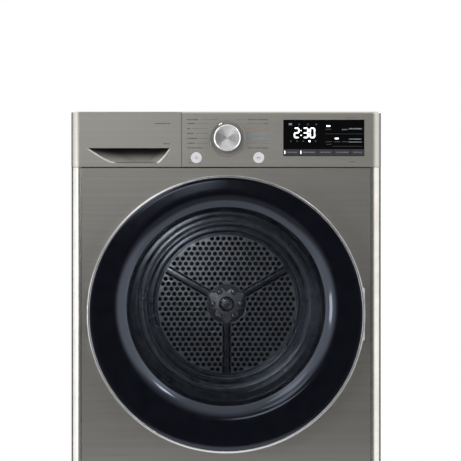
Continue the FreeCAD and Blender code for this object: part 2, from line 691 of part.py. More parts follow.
def door_trim_ring():
    profile = [(TRIM_INNER, DOOR_FACE), ("door_radius", DOOR_FACE), ("door_radius", DOOR_REAR),
               (TRIM_INNER, DOOR_REAR)]
    ring = turned("trim_blank", profile, at=AXIS)
    soften(ring, [("door_radius", DOOR_FACE, "0"), (TRIM_INNER, DOOR_FACE, "0")], "2.4")
    return cut("door_trim_ring", ring, hinge_notch("trim_hinge_notch"),
               grip_notch("trim_grip_notch"))


def door_cover():
    """Black gloss cover: a flat face and a funnel down to the window, set above centre."""
    flat = cut("cover_flat", rod("cover_disc", "y", AXIS, f"{TRIM_INNER} - fit_gap",
                                 (COVER_FACE, COVER_BACK)),
               rod("cover_hole", "y", ("0", WINDOW_Z), "funnel_radius - 1",
                   (f"{COVER_FACE} - 1", f"{COVER_BACK} + 1")))
    reach = "(funnel_radius - window_radius)"
    deep = f"({WEB_BACK} - 2 - {COVER_FACE})"
    steps = [(0, 0), (0.4, 0.13), (0.71, 0.42), (0.92, 0.78), (1, 1)]
    face = [(f"funnel_radius - {reach} * {inward}", f"{COVER_FACE} + {deep} * {back}")
            for inward, back in steps]
    rear = [(f"{radius} + {dr} * cover_skin", f"{y} + {dy} * cover_skin")
            for (radius, y), (dr, dy) in zip(face, ((0, 1), (0.4, 0.9), (0.75, 0.65), (0.95, 0.3),
                                                    (1, 0)))]
    return fuse("door_cover", flat, turned("cover_funnel", face + rear[::-1],
                                           at=("0", WINDOW_Z)))


def door_window():
    """Glass bowl that reaches into the loading throat."""
    rim = f"{WEB_BACK} - 1.7"
    back = f"{rim} + bowl_depth"
    profile = [("window_radius - 5", rim), ("window_radius + 3.5", rim),
               ("window_radius + 3.5", f"{rim} + 3"), ("window_radius - 1", f"{rim} + 3"),
               ("bowl_radius + window_skin", f"{back} - 14"), ("bowl_radius - 6", back),
               ("0", back), ("0", f"{back} - window_skin"),
               ("bowl_radius - 8", f"{back} - window_skin"), ("bowl_radius", f"{back} - 16")]
    return turned("door_window", profile, at=("0", WINDOW_Z))


def door_frame():
    """Inner door frame: a web with an outer and an inner wall."""
    web = rod("frame_web", "y", AXIS, f"{TRIM_INNER} - 1", (WEB_FRONT, WEB_BACK))
    wall = tube("frame_wall", "y", AXIS, f"{TRIM_INNER} - 1", f"{TRIM_INNER} - 4.5",
                (f"{COVER_BACK} + 4", WEB_FRONT))
    collar = tube("frame_collar", "y", ("0", WINDOW_Z), "window_radius + 11", "window_radius + 8",
                  (f"{WEB_FRONT} - 5", WEB_FRONT))
    hole = rod("frame_hole", "y", ("0", WINDOW_Z), "window_radius + 4",
               (f"{WEB_FRONT} - 1", f"{WEB_BACK} + 1"))
    return cut("door_frame", fuse("frame_blank", web, wall, collar), hole,
               hinge_notch("frame_hinge_notch"), grip_notch("frame_grip_notch"))


def door_gasket():
    return tube("door_gasket", "y", AXIS, "panel_hole + 3 + gasket_width", "panel_hole + 3",
                (WEB_BACK, f"{FRONT} - fit_gap"))


def hinge_bracket():
    """Fixed half of the hinge: a plate on the front panel, two arms and two knuckles."""
    plate = box("bracket_plate", ("hinge_x - 23", "hinge_x - 5"), (f"{FRONT} - 2.5", FRONT),
                around("door_centre", "bracket_half + 3"))
    arms = []
    gap = "knuckle_half + 1"
    arm = [("hinge_x - 23", FRONT), ("hinge_x - 14", FRONT), ("hinge_x + 2", f"{HINGE_Y} + 2"),
           ("hinge_x - 5", f"{HINGE_Y} - 1")]
    for label, low, high in (("low", "-(bracket_half)", f"-({gap})"), ("high", gap, "bracket_half")):
        span = (f"door_centre + {low}", f"door_centre + {high}")
        arms.append(prism(f"bracket_arm_{label}", "z", arm, span))
        arms.append(rod(f"bracket_knuckle_{label}", "z", ("hinge_x", HINGE_Y), "knuckle_radius",
                        span))
    bore = rod("bracket_bore", "z", ("hinge_x", HINGE_Y), "pin_radius + run_gap",
               around("door_centre", "bracket_half + 5"))
    return cut("hinge_bracket", fuse("bracket_blank", plate, *arms), bore)


def hinge_pin():
    return rod("hinge_pin", "z", ("hinge_x", HINGE_Y), "pin_radius",
               around("door_centre", "bracket_half + 1"))


def door_hinge_leaf():
    """Moving half of the hinge, fixed to the door frame's web."""
    half = around("door_centre", "knuckle_half")
    knuckle = rod("leaf_knuckle", "z", ("hinge_x", HINGE_Y), "knuckle_radius", half)
    plate = box("leaf_plate", ("hinge_x - 54", "hinge_x - 2"),
                (f"{HINGE_Y} + 3", f"{HINGE_Y} + 6"), half)
    block = box("leaf_block", ("hinge_x - 54", "hinge_x - 40"), (f"{HINGE_Y} + 5", WEB_FRONT), half)
    bore = rod("leaf_bore", "z", ("hinge_x", HINGE_Y), "pin_radius + run_gap",
               around("door_centre", "knuckle_half + 1"))
    return cut("door_hinge_leaf", fuse("leaf_blank", knuckle, plate, block), bore)


def door_strike():
    """Hook on the door that the latch holds."""
    left, neck, right = f"{LATCH_X} - 3", f"{LATCH_X} - 0.5", f"{LATCH_X} + 3"
    outline = [(left, WEB_BACK), (right, WEB_BACK), (right, f"{FRONT} + 22"),
               (left, f"{FRONT} + 18"), (left, f"{FRONT} + 14"), (neck, f"{FRONT} + 12"),
               (neck, f"{FRONT} + 4"), (left, f"{FRONT} + 2")]
    return prism("door_strike", "z", outline, around("door_centre", "7"))


def door_latch():
    """Latch housing behind the front panel."""
    body = box("latch_body", around(LATCH_X, "latch_width / 2"),
               (f"{FRONT} + sheet_skin", f"{FRONT} + 30"), around("door_centre", "latch_half"))
    slot = box("latch_slot", LATCH_SLOT_X, (f"{FRONT} + 1", f"{FRONT} + 26"),
               around("door_centre", "10"))
    return cut("door_latch", body, slot)


# ---- drum and its supports ----------------------------------------------------------------

FILTER_Y = (f"{SUPPORT} - 2 - filter_thick", f"{SUPPORT} - 2")


def front_support():
    """Pressed bulkhead with the loading throat and the lint filter's housing."""
    sheet_plate = box("support_plate", between(f"{SIDE} - 17"), (SUPPORT, SUPPORT_BACK),
                      ("base_lift + base_rise", f"{BAND_LOW} - 1"))
    hole = rod("support_hole", "y", AXIS, "throat_radius", (f"{SUPPORT} - 1", f"{SUPPORT_BACK} + 1"))
    profile = [("panel_hole - 1", f"{FRONT} + 2"), ("panel_hole + 2", f"{FRONT} + 2"),
               ("throat_radius + 3", SUPPORT), ("throat_radius + 3", SUPPORT_BACK),
               ("throat_radius", SUPPORT_BACK), ("throat_radius", SUPPORT)]
    collar = turned("support_collar", profile, at=AXIS)
    wall = 2
    housing = box("filter_housing", between(f"filter_half + 1 + {wall}"),
                  (f"{FILTER_Y[0]} - 1 - {wall}", SUPPORT),
                  (f"filter_low - 1 - {wall}", "door_centre - throat_radius - 1"))
    room = box("filter_room", between("filter_half + 1"), (f"{FILTER_Y[0]} - 1", f"{SUPPORT} - 1"),
               ("filter_low - 1", "filter_high + 30"))
    outlet = box("filter_outlet", between("filter_half - 10"),
                 (f"{FILTER_Y[0]} - {wall} - 3", f"{FILTER_Y[0]}"), ("filter_low + 4", "filter_low + 60"))
    shank_holes = [rod(f"axle_hole_{side}", "y", roller_place(sign), "axle_radius + run_gap",
                       (f"{SUPPORT} - 1", f"{SUPPORT_BACK} + 1"))
                   for side, sign in SIDES]
    plate = cut("support_sheet", sheet_plate, hole)
    return cut("front_support", fuse("support_blank", plate, collar, housing), room, outlet,
               *shank_holes)


SIDES = (("left", -1), ("right", 1))


def roller_place(sign):
    """Centre of a support roller, just clear of the drum."""
    reach = "(drum_radius + roller_radius + fit_gap)"
    return (f"{sign} * {reach} * cos(roller_angle)", f"door_centre - {reach} * sin(roller_angle)")


def drum_seals():
    """Felt rings: one behind the front support, one ahead of the rear duct."""
    front = tube("front_seal", "y", AXIS, "lip_radius + 10", "throat_radius + 5",
                 (f"{SUPPORT_BACK} + fit_gap", f"{DRUM_FRONT} - fit_gap"))
    rear = tube("rear_seal", "y", AXIS, "duct_radius - 1", "duct_radius - 13",
                (f"{DRUM_END} + fit_gap", f"{DUCT_FRONT} - fit_gap"))
    return together("drum_seals", (front, rear), "Part::Compound")


def drum_shell():
    """Drum barrel with its front lip."""
    inner = "drum_radius - drum_skin"
    profile = [("lip_radius", DRUM_FRONT), ("drum_radius", DRUM_FRONT), ("drum_radius", DRUM_BACK),
               (inner, DRUM_BACK), (inner, f"{DRUM_FRONT} + 6"), ("drum_radius - 8",
               f"{DRUM_FRONT} + drum_skin"), ("lip_radius", f"{DRUM_FRONT} + drum_skin")]
    return turned("drum_shell", profile, at=AXIS)


def perforations():
    """Holes on a triangular grid, square to the middle of each of three sectors."""
    pitch, radius = value("hole_pitch"), value("hole_radius")
    inner, outer = value("field_inner"), value("field_outer")
    rib, centre = value("rib_half"), value("door_centre")
    start = value(f"{DRUM_BACK} - 1")
    row = pitch * math.sqrt(3) / 2
    rows = int(outer / row) + 1
    half_sector = math.radians(60)
    holes = []
    for middle in (90, 210, 330):
        turn = math.radians(middle - 90)
        for j in range(rows):
            up = j * row
            for i in range(-rows, rows + 1):
                across = (i + 0.5 * (j % 2)) * pitch
                in_ring = inner + radius < math.hypot(across, up) < outer - radius
                off_rib = up * math.sin(half_sector) - abs(across) * math.cos(half_sector)
                if in_ring and off_rib > rib + radius:
                    x = across * math.cos(turn) - up * math.sin(turn)
                    z = across * math.sin(turn) + up * math.cos(turn)
                    holes.append(Part.makeCylinder(radius, value("drum_skin") + 2,
                                                   Vector(x, start, centre + z), Vector(0, 1, 0)))
    return feature("drum_perforations", Part.makeCompound(holes))


def drum_rear_panel():
    """Rear disc of the drum with three perforated sectors and a raised ring."""
    shaft = "shaft_radius + fit_gap"
    ring = "field_outer + 15"
    profile = [(shaft, DRUM_BACK), (f"{ring} - 7", DRUM_BACK), (f"{ring} - 3", f"{DRUM_BACK} - 4"),
               (f"{ring} + 3", f"{DRUM_BACK} - 4"), (f"{ring} + 7", DRUM_BACK),
               ("drum_radius", DRUM_BACK), ("drum_radius", DRUM_END), (shaft, DRUM_END)]
    return cut("drum_rear_panel", turned("rear_disc", profile, at=AXIS), perforations())


def drum_hub():
    """Hub plate with three short arms, a boss and the drum shaft."""
    y = (f"{DRUM_BACK} - hub_thick", DRUM_BACK)
    solids = [rod("hub_plate", "y", AXIS, "hub_radius", y),
              rod("hub_boss", "y", AXIS, "shaft_radius", (f"{y[0]} - 4", y[0])),
              rod("hub_shaft", "y", AXIS, "shaft_radius", (y[0], f"{DUCT_BACK} - 20"))]
    for angle in (30, 150, 270):
        at = (f"arm_reach * cos({angle})", f"door_centre + arm_reach * sin({angle})")
        solids.append(rod(f"hub_arm_{angle}", "y", at, "arm_radius", y))
    bores = [rod(f"hub_hole_{i}", "y", spot, "2.2", (f"{y[0]} - 1", f"{y[1]} + 1"))
             for i, spot in enumerate(HUB_BOLT_PLACES)]
    return cut("drum_hub", fuse("hub_blank", *solids), *bores)


HUB_BOLT_PLACES = [(f"(hub_radius - bolt_set) * cos({60 * i})",
                    f"door_centre + (hub_radius - bolt_set) * sin({60 * i})") for i in range(6)]


def hub_bolts():
    bolts = []
    for i, spot in enumerate(HUB_BOLT_PLACES):
        face = f"({DRUM_BACK} - hub_thick)"
        head = rod(f"hub_bolt_head_{i}", "y", spot, "3.8", (f"{face} - 3", face))
        shank = rod(f"hub_bolt_shank_{i}", "y", spot, "2", (f"{face} - 1", DRUM_BACK))
        bolts.append(fuse(f"hub_bolt_{i}", head, shank))
    return together("hub_bolts", bolts, "Part::Compound")


def drum_lifters():
    """Three paddles inside the drum."""
    foot = "(drum_radius - drum_skin - 3.5)"
    crest = f"({foot} - lifter_height)"
    outline = [("-lifter_foot", f"-{foot}"), ("lifter_foot", f"-{foot}"),
               ("lifter_crest", f"-{crest}"), ("-lifter_crest", f"-{crest}")]
    paddles = []
    for turn in (0, 120, 240):
        paddle = prism(f"lifter_{turn}", "y", outline,
                       (f"{DRUM_FRONT} + lifter_set", f"{DRUM_BACK} - lifter_set"))
        paddle.Placement.Rotation = Rotation(Vector(0, 1, 0), turn)
        place(paddle, "0", f"{DRUM_BACK} - lifter_set", "door_centre")
        paddles.append(paddle)
    return together("drum_lifters", paddles, "Part::Compound")


def rear_duct():
    """Dished duct behind the drum that feeds warm air through the perforations."""
    seat = "(shaft_radius + 13)"
    skin = "1.5"
    profile = [(seat, f"{DUCT_BACK} - 45"), (f"{seat} + 4", f"{DUCT_BACK} - 45"),
               (f"{seat} + 4", f"{DUCT_BACK} - {skin}"), (f"duct_radius - {skin}",
               f"{DUCT_BACK} - {skin}"), (f"duct_radius - {skin}", DUCT_FRONT),
               ("duct_radius", DUCT_FRONT), ("duct_radius", DUCT_BACK), (seat, DUCT_BACK)]
    port = box("duct_port", (f"{CHIMNEY_X[0]} - 1", f"{CHIMNEY_X[1]} + 1"),
               (f"{CHIMNEY_Y[0]} - 1", f"{CHIMNEY_Y[1]} + 0.5"), ("blower_z", "door_centre - 60"))
    return cut("rear_duct", turned("duct_dish", profile, at=AXIS), port)


CHIMNEY_X = around("blower_x", "chimney_half")
CHIMNEY_Y = (f"{DUCT_FRONT} + 8", f"{DUCT_BACK} - 4")


def rear_bearing():
    return tube("rear_bearing", "y", AXIS, "shaft_radius + 12.7", "shaft_radius + run_gap",
                (f"{DUCT_BACK} - 42", f"{DUCT_BACK} - 24"))


ROLLER_Y = (f"{DRUM_FRONT} + 6", f"{DRUM_FRONT} + 6 + roller_width")


def roller_axles():
    """Stub axles on the front support, each with a shoulder and a retaining head."""
    axles = []
    for side, sign in SIDES:
        at = roller_place(sign)
        axles.append(fuse(f"roller_axle_{side}",
                          rod(f"axle_pin_{side}", "y", at, "axle_radius",
                              (SUPPORT, f"{ROLLER_Y[1]} + 3")),
                          rod(f"axle_shoulder_{side}", "y", at, "axle_radius + 4",
                              (SUPPORT_BACK, f"{ROLLER_Y[0]} - 1")),
                          rod(f"axle_head_{side}", "y", at, "axle_radius + 3",
                              (f"{ROLLER_Y[1]} + 1", f"{ROLLER_Y[1]} + 4"))))
    return together("roller_axles", axles, "Part::Compound")


def support_roller(side, sign):
    at = roller_place(sign)
    profile = [("axle_radius + run_gap", ROLLER_Y[0]), ("roller_radius", ROLLER_Y[0]),
               ("roller_radius", ROLLER_Y[1]), ("axle_radius + run_gap", ROLLER_Y[1])]
    return turned(f"support_roller_{side}", profile, at=at)


# ---- drive --------------------------------------------------------------------------------

BELT_Y = around("belt_place", "belt_width / 2")
PULLEY_Y = around("belt_place", "belt_width / 2 + 4")


def drum_motor():
    body = rod("motor_body", "y", ("motor_x", "motor_z"), "motor_radius", MOTOR_Y)
    nose = rod("motor_nose", "y", ("motor_x", "motor_z"), "nose_radius",
               ("motor_front - nose_length", "motor_front"))
    slots = [box(f"motor_vent_{i}", around(f"motor_x + {i} * 12", "2.5"),
                 ("motor_back - 8", "motor_back + 1"), around("motor_z", "motor_radius / 2 - 0.5"))
             for i in (-2, -1, 1, 2)]
    bore = rod("motor_bore", "y", ("motor_x", "motor_z"), "motor_shaft + run_gap",
               ("motor_front - nose_length - 1", "motor_back - 15"))
    return cut("drum_motor", fuse("motor_blank", body, nose), bore, *slots)


def motor_pulley():
    """Motor shaft with the belt pulley on its end."""
    profile = [("0", PULLEY_Y[0]), ("pulley_radius + 2", PULLEY_Y[0]),
               ("pulley_radius + 2", f"{PULLEY_Y[0]} + 2"), ("pulley_radius", f"{PULLEY_Y[0]} + 2"),
               ("pulley_radius", f"{PULLEY_Y[1]} - 2"), ("pulley_radius + 2", f"{PULLEY_Y[1]} - 2"),
               ("pulley_radius + 2", PULLEY_Y[1]), ("motor_shaft", PULLEY_Y[1]),
               ("motor_shaft", "motor_back - 20"), ("0", "motor_back - 20")]
    return turned("motor_pulley", profile, at=("motor_x", "motor_z"))


def idler_pulley():
    bore = "pivot_radius + run_gap"
    profile = [(bore, PULLEY_Y[0]), ("idler_radius", PULLEY_Y[0]), ("idler_radius", PULLEY_Y[1]),
               (bore, PULLEY_Y[1])]
    return turned("idler_pulley", profile, at=("idler_x", "idler_z"))


def idler_arm():
    """Sprung arm that pushes the idler pulley against the belt."""
    y = ("-31", "-26")
    pivot, wheel = ("pivot_x", "pivot_z"), ("idler_x", "idler_z")
    tilt = "atan2(idler_z - pivot_z; idler_x - pivot_x)"
    half = "8"
    corners = [(f"{at[0]} + {side} * {half} * sin({tilt})", f"{at[1]} - {side} * {half} * cos({tilt})")
               for at, side in ((pivot, 1), (wheel, 1), (wheel, -1), (pivot, -1))]
    solids = [prism("arm_bar", "y", corners, y), rod("arm_foot", "y", pivot, "9", y),
              rod("arm_head", "y", wheel, half, y),
              rod("arm_axle", "y", wheel, "pivot_radius", (f"{PULLEY_Y[0]} - 2", y[0])),
              rod("arm_axle_head", "y", wheel, "pivot_radius + 2",
                  (f"{PULLEY_Y[0]} - 4", f"{PULLEY_Y[0]} - 1"))]
    bore = rod("arm_bore", "y", pivot, "pivot_radius + run_gap", ("-32", "-25"))
    return cut("idler_arm", fuse("arm_blank", *solids), bore)


def belt_loop(drum, pulley, idler):
    """Closed wire round the drum and the pulley, and back over the idler's far side."""
    wheels = [(Vector(0, 0, value("door_centre")), drum, 1),
              (Vector(value("idler_x"), 0, value("idler_z")), idler, -1),
              (Vector(value("motor_x"), 0, value("motor_z")), pulley, 1)]
    lines = []
    for (start, r_start, s_start), (end, r_end, s_end) in zip(wheels, wheels[1:] + wheels[:1]):
        across = end - start
        length = across.Length
        along = across / length
        square = Vector(along.z, 0, -along.x)
        lean = (s_start * r_start - s_end * r_end) / length
        normal = along * lean + square * math.sqrt(1 - lean * lean)
        lines.append((start + normal * (s_start * r_start), end + normal * (s_end * r_end)))
    edges = []
    for i, (centre, radius, sense) in enumerate(wheels):
        arrive, leave = lines[i - 1][1], lines[i][0]
        bisector = (arrive - centre) + (leave - centre)
        middle = centre + bisector / bisector.Length * radius
        if i == 0:
            middle = centre - bisector / bisector.Length * radius
        edges.append(Part.Arc(arrive, middle, leave).toShape())
        edges.append(Part.LineSegment(*lines[i]).toShape())
    return Part.Wire(edges)


def drum_belt():
    """Belt round the drum, over the idler's top and under the motor pulley."""
    gap, thick = value("fit_gap"), value("belt_thick")
    drum, pulley, idler = value("drum_radius"), value("pulley_radius"), value("idler_radius")
    outside = belt_loop(drum + gap + thick, pulley + gap + thick, idler + gap)
    inside = belt_loop(drum + gap, pulley + gap, idler + gap + thick)
    ring = Part.Face(outside).cut(Part.Face(inside))
    solid = ring.Faces[0].extrude(Vector(0, value("belt_width"), 0))
    made = feature("drum_belt", solid)
    place(made, y=BELT_Y[0])
    return made


# ---- heat pump and air path ---------------------------------------------------------------

def bent_pipe(radius, points, bend):
    """Pipe along straight runs joined by arcs of one bend radius."""
    spots = [Vector(*[value(number) for number in point]) for point in points]
    turn = value(bend)
    edges = []
    start = spots[0]
    for before, corner, after in zip(spots, spots[1:], spots[2:]):
        back = (before - corner).normalize()
        ahead = (after - corner).normalize()
        half = back.getAngle(ahead) / 2
        reach = turn / math.tan(half)
        first, last = corner + back * reach, corner + ahead * reach
        inward = (back + ahead).normalize()
        middle = corner + inward * (turn / math.sin(half) - turn)
        edges.append(Part.LineSegment(start, first).toShape())
        edges.append(Part.Arc(first, middle, last).toShape())
        start = last
    edges.append(Part.LineSegment(start, spots[-1]).toShape())
    path = Part.Wire(edges)
    ring = Part.Wire(Part.Circle(spots[0], spots[1] - spots[0], value(radius)).toShape())
    return path.makePipeShell([ring], True, False)


def compressor():
    at = (f"{SIDE} - 85", f"{REAR} - 145")
    can = turned("compressor_can", [("0", f"{FLOOR} + 6"), ("50", f"{FLOOR} + 6"),
                                    ("55", f"{FLOOR} + 20"), ("55", "185"), ("42", "207"),
                                    ("0", "213")], "z", at)
    plate = box("compressor_plate", around(at[0], "52"), around(at[1], "52"),
                (FLOOR, f"{FLOOR} + 7"))
    return fuse("compressor", can, plate)


def heat_exchanger(name, y):
    """Upright fins threaded on eight cross tubes."""
    left, right = f"-({SIDE} - 25)", "duct_low_right - 14"
    low, high = f"{FLOOR} + 9", "duct_low_top - 18"
    count = int(value("fin_count"))
    step = f"(({right}) - ({left}) - fin_skin) / (fin_count - 1)"
    solids = [box(f"{name}_fin_{i}", (f"{left} + {i} * {step}", f"{left} + {i} * {step} + fin_skin"),
                  y, (low, high)) for i in range(count)]
    for i in range(4):
        for j, side in enumerate((0.25, 0.75)):
            at = (f"({y[0]}) + ({y[1]} - ({y[0]})) * {side}",
                  f"({low}) + ({high} - ({low})) * {0.125 + 0.25 * i}")
            solids.append(rod(f"{name}_tube_{i}_{j}", "x", at, "4", (f"{left} - 4", f"{right} + 4")))
    return fuse(name, *solids)


def duct_cover():
    """Cover over the heat exchangers, sealed to the base tray."""
    x = (f"-({SIDE} - 12)", "duct_low_right")
    pan = shell("cover_pan", x, PAN_Y, (f"{FLOOR} + 1", "duct_low_top"), "2", "-z")
    front = box("cover_inlet", (f"50 - {SIDE}", f"200 - {SIDE}"),
                (f"{PAN_Y[0]} - 1", f"{PAN_Y[0]} + 3"), ("60", "140"))
    rear = box("cover_outlet", around("blower_x", "45"), (f"{PAN_Y[1]} - 3", f"{PAN_Y[1]} + 1"),
               ("90", "140"))
    holes = [rod(f"cover_pipe_hole_{i}", "x", points[-1][1:], "pipe_radius + fit_gap",
                 ("duct_low_right - 3", "duct_low_right + 1"))
             for i, points in enumerate(PIPE_ROUTES)]
    return cut("duct_cover", pan, front, rear, *holes)


PIPE_Y = (f"({SUPPORT} + 256)", f"({SUPPORT} + 96)")
PIPE_ROUTES = [
    [(f"{SIDE} - 140", f"{REAR} - 160", "80"), ("60", f"{REAR} - 160", "80"), ("60", PIPE_Y[0], "80"),
     ("duct_low_right - 8", PIPE_Y[0], "80")],
    [(f"{SIDE} - 140", f"{REAR} - 130", "110"), ("30", f"{REAR} - 130", "110"),
     ("30", PIPE_Y[1], "110"), ("duct_low_right - 8", PIPE_Y[1], "110")]]


def refrigerant_pipes():
    """Two pipes from the compressor to the heat exchangers."""
    return feature("refrigerant_pipes",
                   Part.makeCompound([bent_pipe("pipe_radius", points, "20")
                                      for points in PIPE_ROUTES]))


BLOWER_Y = (f"{DUCT_FRONT} + 7", f"{DUCT_BACK} - 2")
BLOWER_AXIS = ("blower_x", "blower_z")


def blower_housing():
    """Round blower case with a chimney up into the rear duct."""
    outer = "fan_radius + blower_gap + 3"
    case = rod("blower_case", "y", BLOWER_AXIS, outer, BLOWER_Y)
    chimney = box("chimney", CHIMNEY_X, CHIMNEY_Y, ("blower_z + 40", "door_centre - 135"))
    room = rod("blower_room", "y", BLOWER_AXIS, "fan_radius + blower_gap",
               (f"{BLOWER_Y[0]} + 3", f"{BLOWER_Y[1]} - 3"))
    flue = box("flue", (f"{CHIMNEY_X[0]} + 2", f"{CHIMNEY_X[1]} - 2"),
               (f"{CHIMNEY_Y[0]} + 2", f"{CHIMNEY_Y[1]} - 2"), ("blower_z", "door_centre - 130"))
    eye = rod("blower_eye", "y", BLOWER_AXIS, "48", (f"{BLOWER_Y[0]} - 1", f"{BLOWER_Y[0]} + 4"))
    return cut("blower_housing", fuse("blower_blank", case, chimney), room, flue, eye)


def fan_impeller():
    """Blower wheel: back plate, ring of blades, front ring and shaft."""
    y = (f"{BLOWER_Y[0]} + 8", f"{BLOWER_Y[1]} - 8")
    plate = rod("fan_plate", "y", BLOWER_AXIS, "fan_radius", (f"{y[1]} - 2", y[1]))
    ring = tube("fan_ring", "y", BLOWER_AXIS, "fan_radius", "fan_radius - 16", (y[0], f"{y[0]} + 2"))
    shaft = rod("fan_shaft", "y", BLOWER_AXIS, "pivot_radius", (f"{BLOWER_Y[0]} - 30", y[1]))
    boss = rod("fan_boss", "y", BLOWER_AXIS, "12", (f"{y[1]} - 14", y[1]))
    solids = [plate, ring, shaft, boss]
    for i in range(int(value("fan_blades"))):
        blade = doc.addObject("Part::Box", f"fan_blade_{i}")
        bind(blade, Length="14", Height="1.5", Width=f"({y[1]}) - ({y[0]})")
        turn = math.radians(360 * i / value("fan_blades"))
        blade.Placement.Rotation = Rotation(Vector(0, 1, 0), -math.degrees(turn) + 25)
        place(blade, f"blower_x + (fan_radius - 15) * {math.cos(turn)}", y[0],
              f"blower_z + (fan_radius - 15) * {math.sin(turn)}")
        solids.append(blade)
    return fuse("fan_impeller", *solids)


def fan_motor():
    """Motor ahead of the blower, on three stays."""
    y = (f"{BLOWER_Y[0]} - 4 - fan_can_length", f"{BLOWER_Y[0]} - 4")
    body = rod("fan_motor_body", "y", BLOWER_AXIS, "fan_can", y)
    near, far = "fan_can - 4", "fan_can + 28"
    stays = [box("fan_stay_0", around("blower_x", "4"), (f"{y[1]} - 8", BLOWER_Y[0]),
                 (f"blower_z + {near}", f"blower_z + {far}")),
             box("fan_stay_1", (f"blower_x - ({far})", f"blower_x - ({near})"),
                 (f"{y[1]} - 8", BLOWER_Y[0]), around("blower_z", "4")),
             box("fan_stay_2", (f"blower_x + {near}", f"blower_x + {far}"),
                 (f"{y[1]} - 8", BLOWER_Y[0]), around("blower_z", "4"))]
    bore = rod("fan_motor_bore", "y", BLOWER_AXIS, "pivot_radius + run_gap",
               (f"{BLOWER_Y[0]} - 32", f"{BLOWER_Y[0]} + 1"))
    return cut("fan_motor", fuse("fan_motor_blank", body, *stays), bore)


PUMP_Y = f"({REAR} - 70)"


def condensate_pump():
    case = box("pump_case", ("60", "110"), around(PUMP_Y, "24"), (FLOOR, f"{FLOOR} + 52"))
    cap = rod("pump_cap", "z", ("85", PUMP_Y), "19", (f"{FLOOR} + 52", f"{FLOOR} + 66"))
    spout = rod("pump_spout", "x", (PUMP_Y, f"{FLOOR} + 29"), "hose_radius", ("105", "118"))
    return fuse("condensate_pump", case, cap, spout)


def pump_hose():
    """Hose from the pump, up behind the right side and across to the tank tray."""
    rise_x = f"{SIDE} - 20"
    high = "tank_top - 33"
    points = [("118", PUMP_Y, f"{FLOOR} + 29"), (rise_x, PUMP_Y, f"{FLOOR} + 29"),
              (rise_x, PUMP_Y, high), (HOSE_X, PUMP_Y, high), (HOSE_X, TRAY_Y[1], high)]
    return feature("pump_hose", bent_pipe("hose_radius", points, "40"))


# ---- rear fittings, lint filter and feet --------------------------------------------------

def drain_spigot():
    """Hose tail for draining straight into a waste pipe."""
    at = ("spigot_x", "spigot_z")
    solid = fuse("spigot_blank", rod("spigot_tail", "y", at, "spigot_radius", (f"{REAR} - 12",
                                                                              f"{REAR} + rear_proud")),
                 rod("spigot_neck", "y", at, "spigot_radius + spigot_collar", (f"{REAR} - 5", REAR)),
                 rod("spigot_flange", "y", at, "spigot_radius + 6", (f"{REAR} - 5",
                                                                     f"{REAR} - sheet_skin")))
    bore = rod("spigot_way", "y", at, "spigot_bore", (f"{REAR} - 13", f"{REAR} + rear_proud + 1"))
    return cut("drain_spigot", solid, bore)


def power_inlet():
    """Terminal box with the round cable gland."""
    case = box("inlet_case", (f"{INLET_X[0]} + 0.5", f"{INLET_X[1]} - 0.5"),
               (f"{REAR} - 20", f"{REAR} + 4"), (f"{INLET_Z[0]} + 0.5", f"{INLET_Z[1]} - 0.5"))
    middle = (f"({INLET_X[0]} + {INLET_X[1]}) / 2", f"({INLET_Z[0]} + {INLET_Z[1]}) / 2")
    gland = rod("inlet_gland", "y", middle, "11", (f"{REAR} + 3", f"{REAR} + rear_proud - 1"))
    way = rod("inlet_way", "y", middle, "4.5", (f"{REAR} - 12", f"{REAR} + rear_proud"))
    return cut("power_inlet", fuse("inlet_blank", case, gland), way)


def lint_filter():
    """Flat filter cassette with a grip, open for its mesh on both faces."""
    block = box("filter_block", between("filter_half"), FILTER_Y, ("filter_low", "filter_high"))
    panes = []
    for i, sign in enumerate((-1, 1)):
        limits = sorted((f"{sign} * 5", f"{sign} * (filter_half - 8)"), key=value)
        panes.append(box(f"filter_pane_front_{i}", limits,
                         (f"{FILTER_Y[0]} - 1", f"{FILTER_Y[0]} + filter_thick / 2 - 0.5"),
                         ("filter_low + 8", "filter_high - 22")))
        panes.append(box(f"filter_pane_back_{i}", limits,
                         (f"{FILTER_Y[0]} + filter_thick / 2 + 0.5", f"{FILTER_Y[1]} + 1"),
                         ("filter_low + 8", "filter_high - 22")))
    grip = box("filter_grip_room", between("45"), (f"{FILTER_Y[0]} + 4", f"{FILTER_Y[1]} - 4"),
               ("filter_high - 14", "filter_high + 1"))
    return cut("lint_filter", block, grip, *panes)


def foot(name, at):
    """Screw foot: pad and stud."""
    profile = [("0", "0"), ("foot_radius", "0"), ("foot_radius", "foot_pad - 5"),
               ("stud_radius + 6", "foot_pad"), ("stud_radius", "foot_pad"),
               ("stud_radius", "base_lift + 30"), ("0", "base_lift + 30")]
    return turned(name, profile, "z", at)


# ---- the whole machine --------------------------------------------------------------------

for make in (base_tray, rear_panel, cabinet_screws, top_plate, front_panel, control_fascia,
             display_window, control_board, program_knob, drawer_front, water_tank, tank_tray,
             door_trim_ring, door_cover, door_window, door_frame, door_gasket, hinge_bracket,
             hinge_pin, door_hinge_leaf, door_strike, door_latch, front_support, drum_seals,
             drum_shell, drum_rear_panel, drum_hub, hub_bolts, drum_lifters, rear_duct,
             rear_bearing, roller_axles, drum_motor, motor_pulley, idler_pulley, idler_arm,
             drum_belt, compressor, duct_cover, refrigerant_pipes, blower_housing, fan_impeller,
             fan_motor, condensate_pump, pump_hose, drain_spigot, power_inlet, lint_filter):
    node(make.__name__, make())
for side_name, side_sign in SIDES:
    node(f"side_panel_{side_name}", side_panel(side_name, side_sign))
    node(f"support_roller_{side_name}", support_roller(side_name, side_sign))
node("power_button", key("power_button", "power_x"))
node("start_button", key("start_button", "start_x"))
node("evaporator", heat_exchanger("evaporator", (f"{PAN_Y[0]} + 30", f"{PAN_Y[0]} + 120")))
